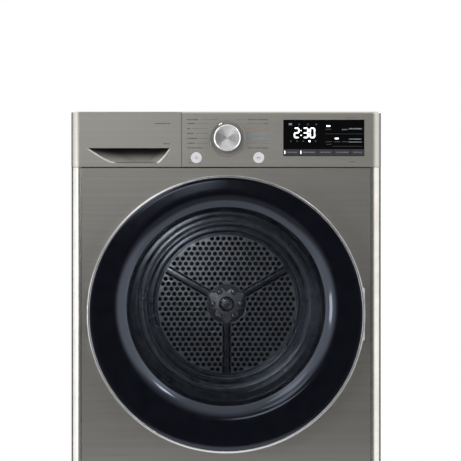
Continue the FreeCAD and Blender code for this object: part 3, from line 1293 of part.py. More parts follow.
node("condenser", heat_exchanger("condenser", (f"{PAN_Y[0]} + 150", f"{PAN_Y[0]} + 290")))
FOOT_NAMES = ("foot_front_left", "foot_rear_left", "foot_front_right", "foot_rear_right")
for foot_name, foot_place in zip(FOOT_NAMES, FOOT_PLACES):
    node(foot_name, foot(foot_name, foot_place))

doc.recompute()
for thing in doc.Objects:
    if "Invalid" in thing.State or "Error" in thing.State:
        raise RuntimeError(f"{thing.Label} failed: {thing.State}")
for part in nodes:
    if part.Shape.isNull() or not part.Shape.isValid() or not part.Shape.Solids:
        raise RuntimeError(f"{part.Label} has no valid solid")

os.makedirs("parts", exist_ok=True)
for part in nodes:
    part.Shape.exportStep(f"parts/{part.Label}.step")
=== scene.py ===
import json
import math
import random

import bmesh
import bpy
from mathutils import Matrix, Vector
from mathutils.geometry import delaunay_2d_cdt


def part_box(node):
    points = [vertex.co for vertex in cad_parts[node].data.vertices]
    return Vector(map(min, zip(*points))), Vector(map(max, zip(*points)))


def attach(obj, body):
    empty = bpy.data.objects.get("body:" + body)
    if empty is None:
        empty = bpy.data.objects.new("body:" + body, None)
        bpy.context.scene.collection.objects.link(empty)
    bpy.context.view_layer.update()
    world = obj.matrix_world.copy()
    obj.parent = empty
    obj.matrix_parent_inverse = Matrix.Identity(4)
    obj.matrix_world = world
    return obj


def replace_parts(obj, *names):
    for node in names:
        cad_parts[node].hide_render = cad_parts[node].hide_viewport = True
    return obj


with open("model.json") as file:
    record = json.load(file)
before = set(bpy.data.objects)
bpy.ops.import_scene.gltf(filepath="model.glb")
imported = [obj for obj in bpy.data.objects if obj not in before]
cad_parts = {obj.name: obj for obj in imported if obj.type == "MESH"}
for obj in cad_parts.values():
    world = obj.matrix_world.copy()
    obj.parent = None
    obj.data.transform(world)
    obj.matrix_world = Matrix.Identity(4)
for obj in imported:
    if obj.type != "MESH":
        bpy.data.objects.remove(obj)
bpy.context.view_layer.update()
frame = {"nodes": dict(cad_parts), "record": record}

# A 60 cm heat-pump dryer in metres: X to the right, Y to the back, Z up.

MM = 0.001
nodes = frame["nodes"]

# ---- places read from the frame -----------------------------------------------------------

ring_low, ring_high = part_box("door_trim_ring")
window_low, window_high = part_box("door_window")
cover_low, cover_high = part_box("door_cover")
drawer_low, drawer_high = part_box("drawer_front")
knob_low, knob_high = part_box("program_knob")
drum_low, drum_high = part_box("drum_shell")
hub_low, hub_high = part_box("drum_hub")

DOOR_Z = (ring_low.z + ring_high.z) / 2
WINDOW_Z = (window_low.z + window_high.z) / 2
RING_R = (ring_high.z - ring_low.z) / 2
RING_WALL = 5.3 * MM
GRIP_HALF, HINGE_HALF = 45 * MM, 56 * MM
DOOR_FACE, DOOR_REAR = ring_low.y, ring_high.y
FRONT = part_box("front_panel")[0].y
BAND_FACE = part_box("control_fascia")[0].y
DRUM_R = (drum_high.x - drum_low.x) / 2
PLATE_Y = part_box("drum_rear_panel")[1].y - 1 * MM
KNOB_X = (knob_low.x + knob_high.x) / 2
KNOB_Z = (knob_low.z + knob_high.z) / 2
KNOB_R = (knob_high.x - knob_low.x) / 2


# ---- camera -------------------------------------------------------------------------------

def set_camera():
    """A long lens, level with the top of the door and square to the front."""
    view_width = 0.891
    distance = 4.2
    sensor = 36.0
    aim_x, aim_z = 8.5 * MM, DOOR_Z + 160.5 * MM
    data = bpy.data.cameras.new("camera")
    data.sensor_width = sensor
    data.lens = sensor * distance / view_width
    data.clip_end = 50
    camera = bpy.data.objects.new("camera", data)
    camera.location = (aim_x, FRONT - distance, aim_z)
    camera.rotation_euler = (math.radians(90), 0, 0)
    bpy.context.scene.collection.objects.link(camera)
    bpy.context.scene.camera = camera


set_camera()


# ---- materials ----------------------------------------------------------------------------

def linear(hex_colour, alpha=1.0):
    """An sRGB hex colour as linear RGBA."""
    parts = [int(hex_colour[i:i + 2], 16) / 255 for i in (1, 3, 5)]
    return tuple(c / 12.92 if c <= 0.04045 else ((c + 0.055) / 1.055) ** 2.4
                 for c in parts) + (alpha,)


def add(tree, kind, inputs=None, **settings):
    """Add a shader node, with its settings, and its inputs as values or links."""
    made = tree.nodes.new("ShaderNode" + kind)
    for key, value in settings.items():
        setattr(made, key, value)
    for key, value in (inputs or {}).items():
        if isinstance(value, bpy.types.NodeSocket):
            tree.links.new(value, made.inputs[key])
        else:
            made.inputs[key].default_value = value
    return made


class Finish:
    """A material with its Principled shader, whose even values sit on the shader."""

    def __init__(self, name, colour, roughness, metallic=0.0, **sockets):
        self.material = bpy.data.materials.new(name)
        self.material.use_nodes = True
        self.tree = self.material.node_tree
        self.shader = self.tree.nodes["Principled BSDF"]
        self.shader.inputs["Base Color"].default_value = linear(colour)
        self.shader.inputs["Roughness"].default_value = roughness
        self.shader.inputs["Metallic"].default_value = metallic
        for key, value in sockets.items():
            label = key.replace("_", " ").title().replace("Ior", "IOR")
            self.shader.inputs[label].default_value = value
        self.place = self.node("TexCoord").outputs["Object"]

    def node(self, kind, inputs=None, **settings):
        return add(self.tree, kind, inputs, **settings)

    def drive(self, label, value):
        self.tree.links.new(value, self.shader.inputs[label])

    def noise(self, rate, detail):
        """Noise with so many marks per metre, or with its own number along each axis."""
        rates = rate if isinstance(rate, tuple) else (rate, rate, rate)
        mapping = self.node("Mapping", {"Vector": self.place, "Scale": rates})
        return self.node("TexNoise", {"Vector": mapping.outputs[0], "Scale": 1.0,
                                      "Detail": detail, "Roughness": 0.6}).outputs["Fac"]

    def blend(self, factor, dark, light, low=0.3, high=0.7):
        """A colour that turns from dark to light as the factor rises."""
        ramp = self.node("ValToRGB", {"Fac": factor})
        for stop, at, colour in zip(ramp.color_ramp.elements, (low, high), (dark, light)):
            stop.position = at
            stop.color = linear(colour)
        return ramp.outputs["Color"]

    def tint(self, factor, dark, light):
        """Let a pattern drive the base colour between two colours."""
        self.drive("Base Color", self.blend(factor, dark, light))

    def roughen(self, factor, low, high):
        """Let a pattern drive the roughness between two values."""
        spread = self.node("MapRange", {"Value": factor, "From Min": 0.3, "From Max": 0.7,
                                        "To Min": low, "To Max": high})
        self.drive("Roughness", spread.outputs["Result"])

    def bump(self, height, distance, strength):
        made = self.node("Bump", {"Height": height, "Distance": distance, "Strength": strength})
        self.drive("Normal", made.outputs["Normal"])


def brushed_stainless(name="brushed_stainless", dark="#989691", light="#a3a19c", roughness=0.34):
    """Stainless sheet brushed sideways: long soft streaks.  The real grain is under 0.2 mm
    wide, so the streaks are drawn 1.5 mm and 6 mm wide to show."""
    made = Finish(name, light, roughness, 1.0, anisotropic=0.4)
    fine = made.noise((3, 3, 650), 4)
    broad = made.noise((0.8, 0.8, 160), 2)
    both = made.node("Mix", {"Factor": 0.45, "A": fine, "B": broad}).outputs["Result"]
    made.tint(both, dark, light)
    made.roughen(fine, roughness - 0.02, roughness + 0.02)
    made.bump(fine, 0.01 * MM, 0.15)
    return made.material


def satin_enamel():
    """Baked metallic enamel on steel: silver flake that flares at the round corners."""
    made = Finish("satin_enamel", "#b9b7b1", 0.2, 0.9)
    wave = made.noise(25, 2)
    peel = made.noise(900, 2)
    made.tint(wave, "#b2b0aa", "#bfbdb7")
    made.roughen(peel, 0.17, 0.23)
    made.bump(peel, 0.02 * MM, 0.4)
    return made.material


def grip_painted_shade(low, high):
    """Matt grey moulding inside the grip, with painted shade: its colour darkens with height to
    near-black under its roof, where the overhang shades it.
    """
    made = Finish("grip_painted_shade", "#3a3936", 0.42, 0.3, ior=1.5)
    height = made.node("SeparateXYZ", {"Vector": made.place}).outputs["Z"]
    rise = made.node("MapRange", {"Value": height, "From Min": low, "From Max": high},
                     interpolation_type="SMOOTHSTEP").outputs["Result"]
    made.drive("Base Color", made.blend(rise, "#6f6e69", "#191817", 0, 1))
    texture = made.noise(900, 2)
    made.roughen(texture, 0.36, 0.5)
    return made.material


def melamine_board():
    """Melamine-faced chipboard: fine pebbled top, a little dust-soft."""
    made = Finish("melamine_board", "#9b9a96", 0.5, ior=1.5)
    pebble = made.noise(700, 3)
    cloud = made.noise(9, 3)
    made.tint(cloud, "#93928e", "#9d9c98")
    made.roughen(pebble, 0.42, 0.6)
    made.bump(pebble, 0.06 * MM, 0.6)
    return made.material


def galvanised_sheet():
    """Zinc-coated steel: crystal spangle about 8 mm across."""
    made = Finish("galvanised_sheet", "#a5a8ab", 0.4, 0.9)
    spangle = made.node("TexVoronoi", {"Vector": made.place, "Scale": 120.0}).outputs["Color"]
    grey = made.node("RGBToBW", {"Color": spangle}).outputs["Val"]
    made.tint(grey, "#95989c", "#b4b7ba")
    made.roughen(grey, 0.3, 0.5)
    return made.material


def drum_stainless(name="drum_stainless", dark="#a9adb4", light="#c4c8ce", roughness=0.2):
    """Pressed stainless: bright, with faint drawing marks and rubbed patches."""
    made = Finish(name, light, roughness, 1.0)
    marks = made.noise((60, 400, 60), 3)
    rubbed = made.noise(14, 3)
    made.tint(marks, dark, light)
    made.roughen(rubbed, roughness - 0.05, roughness + 0.08)
    made.bump(marks, 0.02 * MM, 0.3)
    return made.material


def chrome_plate(name="polished_chrome", colour="#e4e4e6", roughness=0.07):
    """Chrome plate on a moulding: bright, with the faintest ripple; satin where it is less
    polished."""
    made = Finish(name, colour, roughness, 1.0)
    ripple = made.noise(70, 2)
    made.roughen(ripple, roughness - 0.02, roughness + 0.03)
    made.bump(ripple, 0.02 * MM, 0.3)
    return made.material


def gloss_black_abs():
    """High-gloss black ABS: deep, with a clear wet shine and a slight ripple."""
    made = Finish("gloss_black_abs", "#07080c", 0.1, ior=1.55, coat_weight=0.15,
                  coat_roughness=0.06, specular_tint=linear("#cfdcf5"))
    ripple = made.noise(35, 2)
    made.tint(ripple, "#06070b", "#0a0b11")
    made.roughen(ripple, 0.08, 0.12)
    return made.material


def tinted_window_glass():
    """Smoke-tinted glass: a dark blue cast over what is behind it, and a mirror surface."""
    made = Finish("tinted_window_glass", "#0c1018", 0.03, ior=1.52, alpha=0.14)
    wipe = made.noise(12, 3)
    made.roughen(wipe, 0.02, 0.06)
    return made.material


def display_glass():
    """Black-backed display glass."""
    made = Finish("display_glass", "#050506", 0.06, ior=1.52)
    wipe = made.noise(30, 2)
    made.roughen(wipe, 0.04, 0.1)
    return made.material


def spun_aluminium():
    """Aluminium faced on a lathe: rings of fine turning marks, drawn 0.5 mm wide, that pull
    the light out into bright wedges."""
    made = Finish("spun_aluminium", "#d9d9da", 0.28, 1.0, anisotropic=0.9)
    tangent = made.node("Tangent", direction_type="RADIAL", axis="Y")
    made.drive("Tangent", tangent.outputs[0])
    centre = made.node("Mapping", {"Vector": made.place, "Location": (-KNOB_X, 0, -KNOB_Z)})
    flat = made.node("VectorMath", {0: centre.outputs[0], 1: (1, 0, 1)}, operation="MULTIPLY")
    radius = made.node("VectorMath", {0: flat.outputs[0]}, operation="LENGTH")
    rings = made.node("TexNoise", {"W": radius.outputs["Value"], "Scale": 2000.0},
                      noise_dimensions="1D").outputs["Fac"]
    made.tint(rings, "#c9c9cb", "#e2e2e3")
    made.roughen(rings, 0.22, 0.34)
    return made.material


def moulded(name, colour, deep, roughness=0.5, grain=0.5, ior=1.5):
    """Moulded plastic: spark-eroded texture, its grain given in mm."""
    made = Finish(name, colour, roughness, ior=ior)
    rate = 1 / (grain * MM)
    texture = made.noise(rate, 2)
    flow = made.noise(18, 2)
    made.tint(flow, deep, colour)
    made.roughen(texture, roughness - 0.08, roughness + 0.08)
    made.bump(texture, 0.03 * MM, 0.6)
    return made.material


def black_rubber(name="black_rubber", colour="#1b1b1c", light="#2a2a2b"):
    """Moulded rubber: dull, with a pale bloom."""
    made = Finish(name, colour, 0.75, ior=1.52)
    bloom = made.noise(60, 4)
    made.tint(bloom, colour, light)
    made.bump(bloom, 0.1 * MM, 0.4)
    return made.material


def pressed_felt():
    """Grey wool felt: matted fibres, drawn 1 mm long, with a soft edge of light."""
    made = Finish("pressed_felt", "#77726c", 0.95, sheen_weight=0.4)
    fibre = made.noise(900, 6)
    made.tint(fibre, "#5d5953", "#8a857e")
    made.bump(fibre, 0.4 * MM, 0.8)
    return made.material


def turned_steel(name="turned_steel", dark="#8d8e91", light="#b2b3b6", roughness=0.3):
    """Zinc-plated or turned steel: bright with tool marks."""
    made = Finish(name, light, roughness, 1.0)
    tool = made.noise((200, 1500, 200), 2)
    made.tint(tool, dark, light)
    made.roughen(tool, roughness - 0.07, roughness + 0.1)
    return made.material


def cast_paint(name, colour, light):
    """Painted casting: orange-peel paint over a rough skin."""
    made = Finish(name, colour, 0.45, 0.1, ior=1.5)
    peel = made.noise(450, 3)
    made.tint(peel, colour, light)
    made.bump(peel, 0.15 * MM, 0.6)
    return made.material


def drawn_copper():
    """Copper tube: warm, with brown patches where it was brazed."""
    made = Finish("drawn_copper", "#c77b52", 0.3, 1.0)
    tarnish = made.noise(50, 4)
    made.tint(tarnish, "#8e5236", "#d2875c")
    made.roughen(tarnish, 0.42, 0.24)
    return made.material


def sintered_bronze():
    """Oil-filled bronze bush: grainy and dull gold."""
    made = Finish("sintered_bronze", "#9a7440", 0.5, 0.9)
    grain = made.noise(1500, 3)
    made.tint(grain, "#7d5c31", "#a9834c")
    made.bump(grain, 0.1 * MM, 0.6)
    return made.material


def fin_aluminium():
    """Thin aluminium fins, left as rolled."""
    made = Finish("fin_aluminium", "#c9cbcd", 0.35, 1.0)
    roll = made.noise((20, 20, 500), 3)
    made.tint(roll, "#b7babc", "#d3d5d7")
    return made.material


def solder_mask():
    """Circuit board: green lacquer over darker copper runs 2 mm apart."""
    made = Finish("solder_mask", "#1c5a34", 0.35, ior=1.5)
    runs = made.node("TexVoronoi", {"Vector": made.place, "Scale": 450.0}, distance="MANHATTAN")
    made.tint(runs.outputs["Distance"], "#123f24", "#2b7346")
    return made.material


def screen_ink(name, colour):
    """Screen-printed ink: matt, a little uneven in cover."""
    made = Finish(name, colour, 0.6, ior=1.5)
    cover = made.noise(1500, 2)
    made.roughen(cover, 0.5, 0.7)
    return made.material


def lit_segment(name, colour, strength):
    """A lit display segment, behind the glass."""
    made = Finish(name, colour, 0.4, ior=1.5, emission_strength=strength)
    glow = made.noise(500, 1)
    core = "#ffffff" if strength > 1 else colour
    made.drive("Emission Color", made.blend(glow, colour, core))
    return made.material


SILVER_PLASTIC = moulded("silver_key_plastic", "#c9c8cc", "#bfbec2", 0.3, 0.4)
BRUSHED = brushed_stainless()
BAND = brushed_stainless("brushed_band", "#a2a09a", "#aba9a3", 0.36)
ENAMEL = satin_enamel()
GALVANISED = galvanised_sheet()
DRUM_STEEL = drum_stainless()
PLATE_STEEL = drum_stainless("pressed_plate_steel", "#8c9097", "#a8acb3", 0.42)
# a darker copy of the drum stainless for the rear dish, ribs and core: painted shade for the dim
# inside of the drum
SHADED_DISH_STEEL = drum_stainless("dish_steel_painted_shade", "#5b6068", "#777c85", 0.3)
CHROME = chrome_plate()
RING_CHROME = chrome_plate("satin_chrome", "#d0d0d2", 0.2)
GLOSS_BLACK = gloss_black_abs()
WINDOW_GLASS = tinted_window_glass()
SPUN = spun_aluminium()
DARK_PLASTIC = moulded("dark_polypropylene", "#2a2b2d", "#222325", 0.55, 0.8)
GREY_PLASTIC = moulded("grey_polypropylene", "#84868a", "#7a7c80", 0.5, 0.8)
WHITE_PLASTIC = moulded("white_acetal", "#deddd8", "#d3d2cd", 0.45, 0.6)
BLACK_RUBBER = black_rubber()
GREY_RUBBER = black_rubber("grey_silicone", "#5a5b5d", "#6b6c6e")
STEEL = turned_steel()
INK = screen_ink("grey_ink", "#403f3b")
BROWN_INK = screen_ink("brown_ink", "#80695a")
BLUE_INK = screen_ink("blue_ink", "#6b7f96")

MATERIALS = {
    "painted_side": ENAMEL,
    "brushed_front": BRUSHED,
    "galvanised": GALVANISED,
    "stainless": DRUM_STEEL,
    "chrome_ring": RING_CHROME,
    "brushed_aluminium": SPUN,
    "aluminium_fin": fin_aluminium(),
    "panel_plastic": BAND,
    "key_plastic": SILVER_PLASTIC,
    "black_gloss": GLOSS_BLACK,
    "dark_plastic": DARK_PLASTIC,
    "grey_plastic": GREY_PLASTIC,
    "white_plastic": WHITE_PLASTIC,
    "tinted_glass": WINDOW_GLASS,
    "display_glass": display_glass(),
    "circuit_board": solder_mask(),
    "rubber_black": BLACK_RUBBER,
    "rubber_grey": GREY_RUBBER,
    "felt_grey": pressed_felt(),
    "steel": STEEL,
    "cast_motor": cast_paint("motor_paint", "#3a3d42", "#4a4d52"),
    "compressor_black": cast_paint("compressor_paint", "#141517", "#232427"),
    "copper_pipe": drawn_copper(),
    "bronze": sintered_bronze(),
    "worktop": melamine_board(),
}


# ---- mesh building ------------------------------------------------------------------------

def finish_piece(name, mesh, material, body, smooth_angle=32):
    """Put a mesh in the scene as a piece on a CAD body."""
    piece = bpy.data.objects.new(name, mesh)
    bpy.context.scene.collection.objects.link(piece)
    mesh.materials.append(material)
    mesh.shade_smooth()
    mesh.set_sharp_from_angle(angle=math.radians(smooth_angle))
    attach(piece, body)
    return piece


def tidy_mesh(name, builder):
    """Run a bmesh builder, merge doubles, turn the faces outward, and return the mesh."""
    made = bmesh.new()
    builder(made)
    bmesh.ops.remove_doubles(made, verts=made.verts, dist=1e-6)
    bmesh.ops.dissolve_degenerate(made, edges=made.edges, dist=1e-7)
    bmesh.ops.recalc_face_normals(made, faces=made.faces)
    mesh = bpy.data.meshes.new(name)
    made.to_mesh(mesh)
    made.free()
    return mesh


def rings(name, rows, axis="y", steps=160):
    """A closed skin through circles.  A row is (radius, place along the axis, (centre x,
    centre of the other cross axis)); the last row joins the first."""
    def build(made):
        loops = []
        for radius, along, centre in rows:
            loop = []
            for i in range(steps):
                angle = 2 * math.pi * i / steps
                across = centre[0] + radius * math.cos(angle)
                up = centre[1] + radius * math.sin(angle)
                spot = (across, along, up) if axis == "y" else (across, up, along)
                loop.append(made.verts.new(spot))
            loops.append(loop)
        for first, second in zip(loops, loops[1:] + loops[:1]):
            for i in range(steps):
                j = (i + 1) % steps
                made.faces.new((first[i], first[j], second[j], second[i]))
    return tidy_mesh(name, build)


def soft_profile(points, radius, steps=5):
    """A closed profile with its corners rounded, each by the radius or half the shorter
    side; a point may carry its own radius as a third number."""
    made = []
    count = len(points)
    for i, point in enumerate(points):
        corner = Vector(point[:2])
        before, after = Vector(points[i - 1][:2]), Vector(points[(i + 1) % count][:2])
        own = point[2] if len(point) > 2 else radius
        back, ahead = before - corner, after - corner
        share = 0.49 if own < 3 * MM else 0.7
        reach = min(own, back.length * share, ahead.length * share)
        if own <= 0 or reach < 1e-6:
            made.append(tuple(corner))
            continue
        first, last = corner + back.normalized() * reach, corner + ahead.normalized() * reach
        for k in range(steps + 1):
            t = k / steps
            spot = first * (1 - t) ** 2 + corner * 2 * t * (1 - t) + last * t ** 2
            made.append(tuple(spot))
    return made


def lathe(name, points, centre, radius=0.0, axis="y", steps=160, rounding=5):
    """A turned solid from a profile of (radius, place along the axis) points."""
    rows = [(max(r, 0), along, centre) for r, along in soft_profile(points, radius, rounding)]
    return rings(name, rows, axis, steps)


def turned_piece(name, profile, centre, material, body, slot, **shape):
    """A lathe mesh put in the scene as a piece."""
    return finish_piece(name, lathe(name, profile, centre, **shape), material, body)


def carve(piece, *boxes):
    """Cut boxes, given by their corners, out of a piece and keep the cut mesh."""
    cutters = []
    for low, high in boxes:
        mesh = bpy.data.meshes.new("cutter")
        made = bmesh.new()
        bmesh.ops.create_cube(made, size=1)
        for vert in made.verts:
            for k in range(3):
                vert.co[k] = low[k] if vert.co[k] < 0 else high[k]
        made.to_mesh(mesh)
        made.free()
        cutter = bpy.data.objects.new("cutter", mesh)
        bpy.context.scene.collection.objects.link(cutter)
        cutters.append(cutter)
        modifier = piece.modifiers.new("cut", "BOOLEAN")
        modifier.operation = "DIFFERENCE"
        modifier.object = cutter
    graph = bpy.context.evaluated_depsgraph_get()
    cut = bpy.data.meshes.new_from_object(piece.evaluated_get(graph))
    piece.modifiers.clear()
    piece.data = cut
    cut.set_sharp_from_angle(angle=math.radians(32))
    for cutter in cutters:
        bpy.data.objects.remove(cutter)
    return piece


def slabs(made, shapes, face, depth):
    """Thin prisms standing on a plane that faces the front: each shape is a list of (x, z)."""
    for shape in shapes:
        front = [made.verts.new((x, face - depth, z)) for x, z in shape]
        back = [made.verts.new((x, face + depth, z)) for x, z in shape]
        count = len(shape)
        made.faces.new(front)
        made.faces.new(back[::-1])
        for i in range(count):
            j = (i + 1) % count
            made.faces.new((front[j], front[i], back[i], back[j]))


def print_on(name, shapes, face, depth, material, body):
    """A set of thin prisms as one piece."""
    return finish_piece(name, tidy_mesh(name, lambda made: slabs(made, shapes, face, depth)),
                        material, body, 20)


def bar(x0, x1, z0, z1):
    return [(x0, z0), (x1, z0), (x1, z1), (x0, z1)]


def bar_mm(x0, x1, z0, z1):
    return bar(x0 * MM, x1 * MM, z0 * MM, z1 * MM)


def disc(x, z, radius, count=20):
    return [(x + radius * math.cos(2 * math.pi * i / count),
             z + radius * math.sin(2 * math.pi * i / count)) for i in range(count)]


def shrunk(outline, distance):
    """An outline, drawn anticlockwise, moved inward by a distance."""
    moved = []
    for before, spot, after in zip(outline[-1:] + outline[:-1], outline, outline[1:] + outline[:1]):
        along = (Vector(spot) - Vector(before)).normalized()
        along += (Vector(after) - Vector(spot)).normalized()
        inward = Vector((-along.y, along.x)).normalized()
        moved.append(tuple(Vector(spot) + inward * distance))
    return moved


def inside(outline, x, z):
    """Whether a point lies inside an outline."""
    crossings = 0
    for (x0, z0), (x1, z1) in zip(outline, outline[1:] + outline[:1]):
        if (z0 > z) != (z1 > z) and x < x0 + (z - z0) / (z1 - z0) * (x1 - x0):
            crossings += 1
    return crossings % 2 == 1


def pierced_plate(name, outline, holes, hole_radius, y, thick, edge):
    """A plate, square to Y with its middle at y, with rounded edges and round holes."""
    flat_loops = [shrunk(outline, edge)]
    full_loops = [outline]
    for x, z in holes:
        flat_loops.append(disc(x, z, hole_radius + edge, 18)[::-1])
        full_loops.append(disc(x, z, hole_radius, 18)[::-1])
    spots, runs = [], []
    for loop in flat_loops:
        first = len(spots)
        spots += [Vector(spot) for spot in loop]
        runs += [(first + k, first + (k + 1) % len(loop)) for k in range(len(loop))]
    found = delaunay_2d_cdt(spots, runs, [], 0, 1e-7, False)
    flat, triangles = found[0], found[2]
    kept = []
    for corners in triangles:
        x, z = sum((flat[k] for k in corners), Vector((0, 0))) / len(corners)
        in_hole = any(math.hypot(x - hx, z - hz) < 0.98 * (hole_radius + edge) for hx, hz in holes)
        if not in_hole and inside(flat_loops[0], x, z):
            kept.append([flat[k] for k in corners])

    def build(made):
        for level in (-thick / 2, thick / 2):
            for corners in kept:
                made.faces.new([made.verts.new((x, y + level, z)) for x, z in corners])
        for flat_loop, full_loop in zip(flat_loops, full_loops):
            levels = []
            for share, level in ((0, -1), (0.7, -0.91), (1, -0.6), (1, 0.6), (0.7, 0.91), (0, 1)):
                levels.append([made.verts.new((fx + (gx - fx) * share, y + level * thick / 2,
                                               fz + (gz - fz) * share))
                               for (fx, fz), (gx, gz) in zip(flat_loop, full_loop)])
            for upper, lower in zip(levels, levels[1:]):
                for k in range(len(upper)):
                    n = (k + 1) % len(upper)
                    made.faces.new((upper[k], upper[n], lower[n], lower[k]))
    return tidy_mesh(name, build)


def arc_points(centre, radius, start_angle, end_angle, count):
    """Points on an arc, angles in degrees."""
    return [(centre[0] + radius * math.cos(math.radians(a)),
             centre[1] + radius * math.sin(math.radians(a)))
            for a in (start_angle + (end_angle - start_angle) * i / count
                      for i in range(count + 1))]


# ---- door ---------------------------------------------------------------------------------

def door_ring():
    """Satin chrome ring round the door, its rear edge cut for the hinge and the grip."""
    inner = RING_R - RING_WALL
    profile = [(RING_R, DOOR_REAR, 0.4 * MM), (RING_R, DOOR_FACE + 5 * MM, 0.6 * MM),
               (RING_R - 1.5 * MM, DOOR_FACE + 0.4 * MM, 0.4 * MM),
               (inner + 0.5 * MM, DOOR_FACE, 0.4 * MM), (inner, DOOR_FACE + 0.8 * MM, 0.3 * MM),
               (inner, DOOR_REAR, 0.4 * MM)]
    piece = turned_piece("door_ring_chrome", profile, (0, DOOR_Z), RING_CHROME, "door",
                         "chrome_ring", steps=288)
    rear, beyond = FRONT + MM, RING_R + 32.7 * MM
    carve(piece, ((RING_R - 45.3 * MM, FRONT - 33 * MM, DOOR_Z - HINGE_HALF),
                  (beyond, rear, DOOR_Z + HINGE_HALF)),
          ((-beyond, FRONT - 21 * MM, DOOR_Z - GRIP_HALF),
           (15.3 * MM - RING_R, rear, DOOR_Z + GRIP_HALF)))
    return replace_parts(piece, "door_trim_ring")


def door_cover():
    """Gloss cover: flat rim, rounded shoulder and a funnel down to the window."""
    outer = RING_R - RING_WALL - 0.3 * MM
    face, back = cover_low.y, cover_high.y
    mouth, throat = 0.2225, (window_high.z - window_low.z) / 2 - 3.5 * MM
    centre, above = (0, DOOR_Z), (0, WINDOW_Z)
    rows = [(outer, face + 3 * MM, centre), (outer, face + 0.8 * MM, centre),
            (outer - 0.3 * MM, face + 0.25 * MM, centre), (outer - MM, face, centre)]
    flat_steps = 4
    for i in range(1, flat_steps):
        t = i / flat_steps
        rows.append((outer - MM + (mouth - outer + MM) * t, face,
                     (0, DOOR_Z + (WINDOW_Z - DOOR_Z) * t)))
    curve = []
    curve_steps = 18
    for i in range(curve_steps + 1):
        t = i / curve_steps * math.pi / 2
        curve.append((mouth - (mouth - throat) * math.sin(t) ** 1.15,
                      face + (back - face) * (1 - math.cos(t)) ** 1.1))
    rows += [(r, y, above) for r, y in curve]
    skin = 2.6 * MM
    rows += [(r + skin * i / curve_steps, y + skin * (1 - i / curve_steps) - 0.01 * MM, above)
             for i, (r, y) in reversed(list(enumerate(curve)))]
    piece = finish_piece("door_cover_gloss", rings("door_cover_gloss", rows, steps=256),
                         GLOSS_BLACK, "door")
    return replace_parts(piece, "door_cover")


def door_window():
    """Deep glass bowl with a rolled rim."""
    rim = (window_high.z - window_low.z) / 2
    front, back = window_low.y, window_high.y
    glass = 4 * MM
    profile = [(0, back, 0), (rim - 18 * MM, back, 8 * MM),
               (rim - 7 * MM, front + 3.4 * MM, 2 * MM), (rim, front + 3 * MM, MM),
               (rim, front, MM), (rim - 8 * MM, front, 1.5 * MM),
               (rim - 22 * MM, back - glass, 6 * MM), (0, back - glass, 0)]
    piece = turned_piece("door_window_bowl", profile, (0, WINDOW_Z), WINDOW_GLASS, "door",
                         "tinted_glass", steps=192, rounding=10)
    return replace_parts(piece, "door_window")


# ---- drum ---------------------------------------------------------------------------------

def plate_piece(name, material, smooth_angle, *shape):
    """A plate of the drum, pierced or plain, put in the scene as a piece."""
    return finish_piece(name, pierced_plate(name, *shape), material, "drum",
                        smooth_angle)


SECTOR_MIDDLES = (90, 210, 330)
RIB_ANGLES = (30, 150, 270)


def sector_outline(inner, outer, rib_half):
    """One third of the perforated plate, its middle pointing up, with rounded corners."""
    start_in = math.degrees(math.asin(rib_half / inner))
    start_out = math.degrees(math.asin(rib_half / outer))
    outside = arc_points((0, 0), outer, 30 + start_out + 1.2, 150 - start_out - 1.2, 40)
    inside = arc_points((0, 0), inner, 150 - start_in - 3, 30 + start_in + 3, 14)
    return outside + inside


def turned_about(points, angle, centre):
    cos, sin = math.cos(math.radians(angle)), math.sin(math.radians(angle))
    return [(centre[0] + x * cos - z * sin, centre[1] + x * sin + z * cos) for x, z in points]


def hole_grid(inner, outer, rib_half, pitch, radius):
    """Hole centres of one sector whose middle points up."""
    row = pitch * math.sqrt(3) / 2
    rows = int(outer / row) + 1
    spots = []
    for j in range(rows):
        for i in range(-rows, rows + 1):
            x, z = (i + 0.5 * (j % 2)) * pitch, j * row
            off_rib = z * math.sin(math.radians(60)) - abs(x) * math.cos(math.radians(60))
            if inner + radius < math.hypot(x, z) < outer - radius and off_rib > rib_half + radius:
                spots.append((x, z))
    return spots


